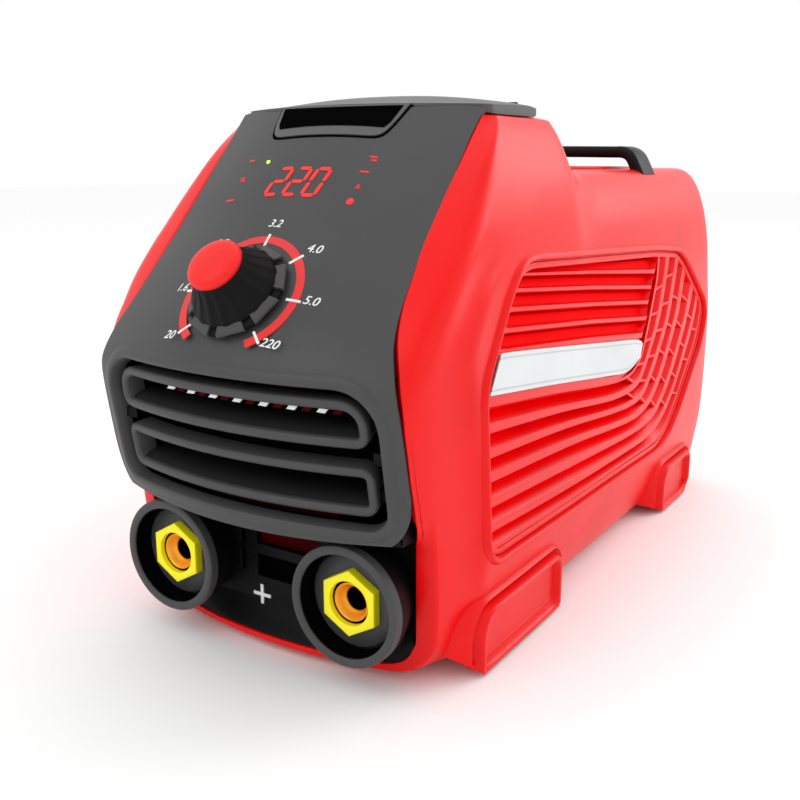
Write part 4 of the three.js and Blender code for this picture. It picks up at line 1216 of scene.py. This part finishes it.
def tab_outline(grow):
    """The tab's outline as (across, height), grown by a width all round."""
    top, low = 221.3, 209.6
    pts = [(-32.0, top), (-30.8, 216.0), (-28.4, 211.2), (-25.2, low), (24.2, low), (27.4, 211.2),
           (30.0, 216.0),
           (32.4, top)]
    out = []
    for u, z in pts:
        f = 1 + grow / 30
        out.append((u * f, z - grow * 0.8 * (1 if z < 215 else 0.4)))
    return [(p.x, p.y) for p in rounded([(u, z, 0) for u, z in out], [2.0, 2.0, 4.0, 4.0, 2.0, 2.0], 5)]


def tab_sheet(grow, out, thick):
    """A plate of the tab's outline, bent to the control face's crown."""
    line = tab_outline(grow)
    half = len(line) // 2
    left, right = line[:half], list(reversed(line[half:]))
    top = [[tab_point(lerp(a[0], b[0], j / 24), lerp(a[1], b[1], j / 24), out) for j in range(25)]
           for a, b in zip(left, right)]
    v, f = grid(top)
    back = grid([[p - FACE_N * thick for p in row] for row in top])
    edge = [top[i][0] for i in range(half)] + top[-1][1:-1] + [top[i][24] for i in range(half - 1, -1, -1)]
    edge += [top[0][j] for j in range(23, 0, -1)]
    skirt = grid([edge, [p - FACE_N * thick for p in edge]], closed_u=True)
    return joined((v, f), back, skirt)


# a dark strip just outside the tab: painted shade in the gap round it
make("lid_tab_gap_shade", *tab_sheet(1.0, 0.10, 0.5), SHADE_BLACK, "lid", angle=50)
make("lid_tab", *tab_sheet(0.0, 0.62, 2.3), LID, "lid", angle=50)
# a dark sheet on the tab: painted shade for its finger slot
slot_rows = []
for i in range(5):
    z = lerp(220.4, 212.9, i / 4)
    half = lerp(30.2, 27.4, i / 4) - (1.0 if i == 4 else 0)
    slot_rows.append([tab_point(lerp(-half, half, j / 24), z, 0.80) for j in range(25)])
make("lid_finger_slot", *grid(slot_rows), SHADE_BLACK, "lid")

# ---------------------------------------------------------------- building: sockets and lower panel


def hexagon_rings(steps, around=72):
    """Rings that blend from an upright hexagon to a circle: (corner radius, height, roundness 0..1)."""
    rings = []
    for radius, height, roundness in steps:
        ring = []
        for k in range(around):
            a = 2 * math.pi * k / around
            rel = ((math.degrees(a) + 30) % 60) - 30
            hexa = radius * math.cos(math.radians(30)) / math.cos(math.radians(rel))
            r = lerp(hexa, radius * 0.95, roundness)
            ring.append(Vector((r * math.cos(a), r * math.sin(a), height)))
        rings.append(ring)
    return rings


CUP_FACE = [(21.0, 157.0), (20.7, 160.2), (20.9, 161.0), (21.5, 161.4), (23.5, 161.5), (24.3, 161.1),
            (24.6, 160.2),
            (24.6, 157.4)]
CUP_FLOOR = [(9.4, 151.8), (9.4, 153.6), (18.6, 153.6), (19.1, 153.2), (19.1, 151.8)]
CUP_WALL = [(20.2, 152.0), (20.5, 160.4), (20.95, 160.4), (20.95, 152.0)]
CUP_BODY = [(9.0, 152.0), (19.8, 152.0), (20.6, 152.4), (20.96, 158.0), (21.2, 158.6), (24.2, 158.6),
            (24.1, 153.0),
            (21.4, 146.5), (21.0, 140.0), (16.0, 137.6), (9.0, 138.0)]
INSERT_STEPS = [(13.5, 150.5, 0), (13.6, 151.5, 0), (13.6, 156.9, 0), (13.45, 157.3, 0.02),
                (13.0, 157.5, 0.1),
                (11.6, 157.5, 0.6), (9.9, 157.5, 1.0), (9.5, 157.3, 1.0), (9.3, 156.6, 1.0),
                (9.3, 150.6, 1.0)]
CONTACT = [(7.8, 144.0), (7.9, 154.9), (7.8, 155.5), (7.4, 155.7), (7.0, 155.3), (6.2, 153.6), (5.5, 152.2),
           (5.0, 151.8), (4.8, 151.2), (4.8, 141.0)]
BORE = [(0.01, 146.0), (4.3, 146.0), (4.5, 151.4), (4.78, 151.4), (4.78, 140.2), (0.01, 140.2)]
GAP = [(7.95, 150.8), (7.95, 154.6), (9.28, 155.6), (9.28, 150.8)]
for side, sign in (("positive", 1), ("negative", -1)):
    at = front_matrix(sign * SOCKET_X, SOCKET_Z)
    make("socket_cup_" + side, *lathe(CUP_BODY + [CUP_BODY[0]], 96, at), BLACK,
         replaces=("socket_cup_" + side,),
         slot="grey_plastic", angle=40)
    make("socket_rim_" + side, *lathe(CUP_FACE, 96, at), GREY, angle=40)
    make("socket_floor_" + side, *lathe(CUP_FLOOR + [CUP_FLOOR[0]], 96, at), GREY, angle=40)
    # the cup's inner wall is painted shade
    make("socket_wall_" + side, *lathe(CUP_WALL + [CUP_WALL[0]], 96, at), SHADE_BLACK, angle=40)
    make("socket_insert_" + side, *moved(grid(hexagon_rings(INSERT_STEPS), closed_u=True), at), YELLOW,
         replaces=("socket_insert_" + side,), slot="yellow_plastic", angle=34)
    ring_rows = [knob_ring(r, h, 0.0, 9.0, 6, 72) for r, h in CONTACT]
    make("socket_contact_" + side, *moved(grid(ring_rows, closed_u=True), at), BRASS,
         replaces=("socket_contact_" + side,), slot="brass", angle=34)
    # the bore and the gap round the contact are painted shade
    make("socket_bore_" + side, *lathe(BORE, 48, at), SHADE_BLACK)
    make("socket_gap_" + side, *lathe(GAP + [GAP[0]], 48, at), SHADE_BLACK)


PANEL = [(-66.6, 22), (-66.6, 63.5), (66.6, 63.5), (66.6, 22), (65.0, 14.0), (60.8, 8.8), (54, 5.6),
         (-54, 5.6),
         (-60.8, 8.8), (-65.0, 14.0)]
VENTS = [(-14.0, 42.0, 22, 49.6), (-14.0, 27.4, 22, 37.4), (-46, 57, 46, 59.4), (-23, 29, -20.4, 38),
         (-23, 41, -20.4, 48)]
panel = make("panel_lower", *prism(PANEL, "y", -141.0, -138.4), BLACK)
cuts = []
for k, (x0, z0, x1, z1) in enumerate(VENTS):
    cuts.append(loose("cut_vent%d" % k, *prism(round_rect(x0, z0, x1, z1, 0.9, 4), "y", -150, -130)))
boolean(panel, cuts)
bevel(panel, 0.5, 2, 50)
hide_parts("socket_panel")
make("panel_vent_back", *prism([(-16, 40), (-16, 51), (24, 51), (24, 40)], "y", -137.4, -136.4), RED_DARK)
# a sheet of painted shade behind the lower panel's vents
make("panel_vent_dark", *prism([(-28, 22), (-28, 40), (28, 40), (28, 22)], "y", -134.4, -133.4), SHADE_BLACK)
chin = []
for k in range(61):
    x = lerp(-66.0, 66.0, k / 60)
    edge = max(0.0, abs(x) - 50.0) / 16.0
    lift = 12.5 * edge ** 2.2
    lip = -150.2 + min(x * x / 400, 6.4)
    chin.append([Vector((x, y, z)) for y, z in (
        (-140.6, 18.0 + lift), (-141.6, 15.0 + lift), (lerp(-141.6, lip, 0.35), 10.6 + lift),
        (lerp(-141.6, lip, 0.72), 8.0 + lift * 0.95), (lip + 0.9, 6.4 + lift * 0.9),
        (lip + 1.2, 4.8 + lift * 0.9),
        (-140.6, 4.8 + lift * 0.9))])
make("panel_chin", *grid(chin, closed_u=True), BLACK, angle=40)
arm, half = 4.6, 0.75
cross = [(-half, -arm), (half, -arm), (half, -half), (arm, -half), (arm, half), (half, half), (half, arm),
         (-half, arm),
         (-half, half), (-arm, half), (-arm, -half), (-half, -half)]
plus_at = Matrix.Translation((-11.4, -141.3, 19.2))
make("polarity_plus", *moved(prism(cross, "y", -0.3, 0.2), plus_at), WHITE_PRINT, angle=30)

# the black carrier behind the vent opening, with short arms that hold the louvre rings; its back is black
# plastic drawn in the dull painted-shade black
DUCT_DEPTH = 26
DUCT_LEVELS = (64, 80, 96, 112, 127)
back = [[Vector((x, front_y(x, z) + DUCT_DEPTH, z)) for x in [lerp(-68, 68, j / 40) for j in range(41)]]
        for z in DUCT_LEVELS]
backing = make("carrier_back", *grid(back), SHADE_BLACK, replaces=("grille_carrier",), slot="black_plastic")
wall = backing.modifiers.new("wall", "SOLIDIFY")
wall.thickness = 1.5 * MM
arms = []
for sign in (-1, 1):
    for z in (83, 97, 110):
        y = front_y(66, z)
        arm_outline = [(sign * 60, y + 5), (sign * 68.5, y + 4), (sign * 68.5, y + 9), (sign * 60, y + 10)]
        arms.append(prism(arm_outline, "z", z - 2.2, z + 2.2))
for z in (64.6, 126.6):
    rows = []
    for j in range(41):
        x = lerp(-69, 69, j / 40)
        y = front_y(x, z)
        rows.append([Vector((x, y + d, z + h))
                     for d, h in ((DUCT_DEPTH, -1), (3.2, -1), (3.2, 1), (DUCT_DEPTH, 1))])
    arms.append(capped(rows))
for sign in (-1, 1):
    rows = [[Vector((sign * 68.8, front_y(68, z) + d, z)) for d in (3.0, DUCT_DEPTH)] for z in DUCT_LEVELS]
    arms.append(grid([[p + Vector((w, 0, 0)) for p in row] for w in (0, sign * 1.0) for row in (rows[0],
                                                                                                rows[-1])]))
make("carrier_arms", *joined(*arms), BLACK, angle=40)
tint_rows, depth = [], 13
for z0, z1, x0, x1 in ((119.6, 122.4, -42, 30), (68.6, 73.0, -36, 40)):
    tint_rows.append(grid([[Vector((x, front_y(x, z) + depth, z)) for z in (z0, z1)]
                           for x in [lerp(x0, x1, j / 30) for j in range(31)]]))
make("duct_red_edges", *joined(*tint_rows), RED_DARK)
bands = {0: [], 1: []}  # the tape's dashes, white and red in turn
for k in range(14):
    x, z = lerp(-30, 48, k / 13), 113.6
    y = front_y(x, z) + 7.5
    part = prism([(x - 2.0, z - 0.8), (x + 1.6, z - 0.8), (x + 3.0, z + 0.8), (x - 0.6, z + 0.8)], "y", y,
                 y + 0.8)
    bands[k % 2].append(part)
make("duct_tape_white", *joined(*bands[0]), WHITE_PRINT)
make("duct_tape_red", *joined(*bands[1]), RED_DARK)

# ---------------------------------------------------------------- building: handle and its well


def handle_rows():
    """A low strap: a flat bar across, a curved shoulder and a splayed leg at each side."""
    path = [(-62.8, 190.8), (-60.4, 195.6), (-57.0, 201.3), (-52.6, 203.7), (-46.0, 203.9), (-20, 204.2),
            (0, 204.3),
            (20, 204.2), (46, 203.9), (52.6, 203.7), (57.0, 201.3), (60.4, 195.6), (62.8, 190.8)]
    pts = [spline(path, (len(path) - 1) * k / 96) for k in range(97)]
    rows = []
    for i, (x, z) in enumerate(pts):
        a, b = pts[max(i - 1, 0)], pts[min(i + 1, len(pts) - 1)]
        t = Vector((b[0] - a[0], 0, b[1] - a[1])).normalized()
        up = Vector((-t.z, 0, t.x))
        foot_share = smoothstep(54, 60, abs(x))
        half, thick = 10.0 + 0.4 * foot_share, 2.9
        ring = []
        for sx, sz, turn in ((-1, -1, 180), (1, -1, 270), (1, 1, 0), (-1, 1, 90)):
            for k in range(5):
                corner, r = math.radians(turn + 22.5 * k), 1.9
                y = sx * (half - r) + r * math.cos(corner)
                h = sz * (thick - r) + r * math.sin(corner)
                h += 0.5 * (1 - (y / half) ** 2) * (1 if sz > 0 else -0.4)
                ring.append(Vector((x, HANDLE_Y + y, z)) + up * h)
        rows.append(ring)
    return rows


make("handle_strap", *capped(handle_rows()), GLOSS_BLACK, replaces=("carry_handle",), slot="black_plastic",
     angle=40)


def well_rows():
    """The well under the handle, from its rim down."""
    # half length, half width, corner radius less 3, height
    spec = [(48.0, 35.6, 10.6, 194.4), (47.8, 35.3, 10.4, 195.6), (46.8, 34.4, 10.0, 196.1),
            (45.4, 33.2, 9.6, 195.5),
            (44.4, 32.2, 9.2, 193.6), (43.6, 31.2, 9.0, 186.0), (42.6, 30.0, 9.0, 176.0),
            (40.6, 28.0, 9.0, 170.2),
            (37.0, 24.4, 9.0, 168.6), (26.0, 14.0, 6.0, 168.2)]
    return [[Vector((x, HANDLE_Y + y, z)) for x, y in round_rect(-hx, -hy, hx, hy, r + 3, 8)] for hx, hy, r,
            z in spec]


rows = well_rows()
verts, faces = grid(rows, closed_u=True)
faces.append(tuple(range(len(verts) - len(rows[-1]), len(verts))))
make("handle_well", verts, faces, RED, angle=40)

# ---------------------------------------------------------------- building: fan guard


WIRE_ANGLES = [2 * math.pi * j / 12 for j in range(12)]


def wire_hoop(radius, wire=1.15, around=96):
    """A wire circle round the fan's axis."""
    rows = []
    for k in range(around):
        a = 2 * math.pi * k / around
        rows.append([Vector(((radius + wire * math.cos(b)) * math.cos(a), GUARD_Y + wire * math.sin(b),
                             FAN_Z + (radius + wire * math.cos(b)) * math.sin(a))) for b in WIRE_ANGLES])
    return grid(rows, closed_u=True, closed_v=True)


def wire_bar(angle, r0, r1, wire=1.2):
    """A straight wire outwards from the fan's axis."""
    d = Vector((math.cos(angle), 0, math.sin(angle)))
    s = Vector((-d.z, 0, d.x))
    return capped([[Vector((0, GUARD_Y,
                            FAN_Z)) + d * r + s * (wire * math.cos(b)) + Vector((0, wire * math.sin(b), 0))
                    for b in WIRE_ANGLES] for r in (r0, r1)])


guard_parts = [wire_hoop(r) for r in (12, 23, 34, 45)]
guard_parts += [wire_bar(math.radians(45 + 90 * k), 11.5, 45) for k in range(4)]
make("fan_guard_wires", *joined(*guard_parts), STEEL, replaces=("fan_guard",), slot="steel", angle=60)

# ---------------------------------------------------------------- finishing the frame's own pieces

# the first word found in a node's name decides its material
NODE_MATERIALS = (("heatsink", ALU), ("rubber", RUBBER), ("screw", STEEL), ("pin", STEEL), ("shaft", STEEL),
                  ("core", FERRITE), ("winding", COPPER), ("choke", COPPER), ("capacitor", SLEEVE),
                  ("board", BOARD),
                  ("busbar", COPPER), ("nut_", BRASS), ("bracket", BLACK), ("guard", STEEL),
                  ("switch_rocker", BLACK),
                  ("panel", GREY), ("potentiometer", ALU), ("fan", BLACK), ("gland", BLACK),
                  ("switch", BLACK),
                  ("tray", BLACK))


def node_material(node):
    name = node.lower()
    return next((mat for word, mat in NODE_MATERIALS if word in name), GREY)


for name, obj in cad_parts.items():
    obj.data.materials.clear()
    obj.data.materials.append(node_material(name))
    finish_mesh(obj, 35)
    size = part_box(name)[1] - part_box(name)[0]
    if min(size) > 0.003 and name not in ("handle_screw_right", "handle_screw_left"):
        bevel(obj, 0.35, 2, 45)

# ---------------------------------------------------------------- camera, light and floor

scene = bpy.context.scene
camera_data = bpy.data.cameras.new("camera")
camera_data.lens = 43.68
camera_data.sensor_width = 36
camera_data.dof.use_dof = False
camera = bpy.data.objects.new("camera", camera_data)
camera.location = (0.246, -0.432, 0.200)
camera.rotation_euler = (math.radians(76.08), 0, math.radians(32.8))
scene.collection.objects.link(camera)
scene.camera = camera

world = bpy.data.worlds.new("studio")
world.use_nodes = True
world.node_tree.nodes["Background"].inputs["Color"].default_value = (1, 1, 1, 1)
world.node_tree.nodes["Background"].inputs["Strength"].default_value = 1.0
scene.world = world


def area(name, location, target, size, power):
    data = bpy.data.lights.new(name, "AREA")
    data.shape = "RECTANGLE"
    data.size, data.size_y = size
    data.energy = power
    obj = bpy.data.objects.new(name, data)
    obj.location = location
    obj.rotation_euler = (Vector(target) - Vector(location)).to_track_quat("-Z", "Y").to_euler()
    scene.collection.objects.link(obj)


area("key", (-0.35, -1.25, 1.1), (0, 0, 0.1), (0.9, 0.9), 3.5)
area("side", (1.5, -0.1, 0.7), (0, 0, 0.1), (1.0, 1.0), 0.8)
area("top", (0.0, 0.2, 1.6), (0, 0, 0.1), (1.2, 1.2), 2.5)
area("back", (0.9, 1.3, 0.8), (0.5, 0.8, 0.0), (0.9, 0.9), 8)
scene.view_settings.view_transform = "Standard"

floor_mat = material("floor", (0.97, 0.97, 0.97), rough=0.6, vary=0.0, wear=(0.97, 0.97, 0.97), ior=1.2)
floor_verts = [(-6000, -6000, -0.1), (6000, -6000, -0.1), (6000, 6000, -0.1), (-6000, 6000, -0.1)]
floor_mesh = bpy.data.meshes.new("floor")
floor_mesh.from_pydata([(x * MM, y * MM, z * MM) for x, y, z in floor_verts], [], [(0, 1, 2, 3)])
floor_mesh.materials.append(floor_mat)
floor = bpy.data.objects.new("floor", floor_mesh)
scene.collection.objects.link(floor)

bpy.context.view_layer.update()
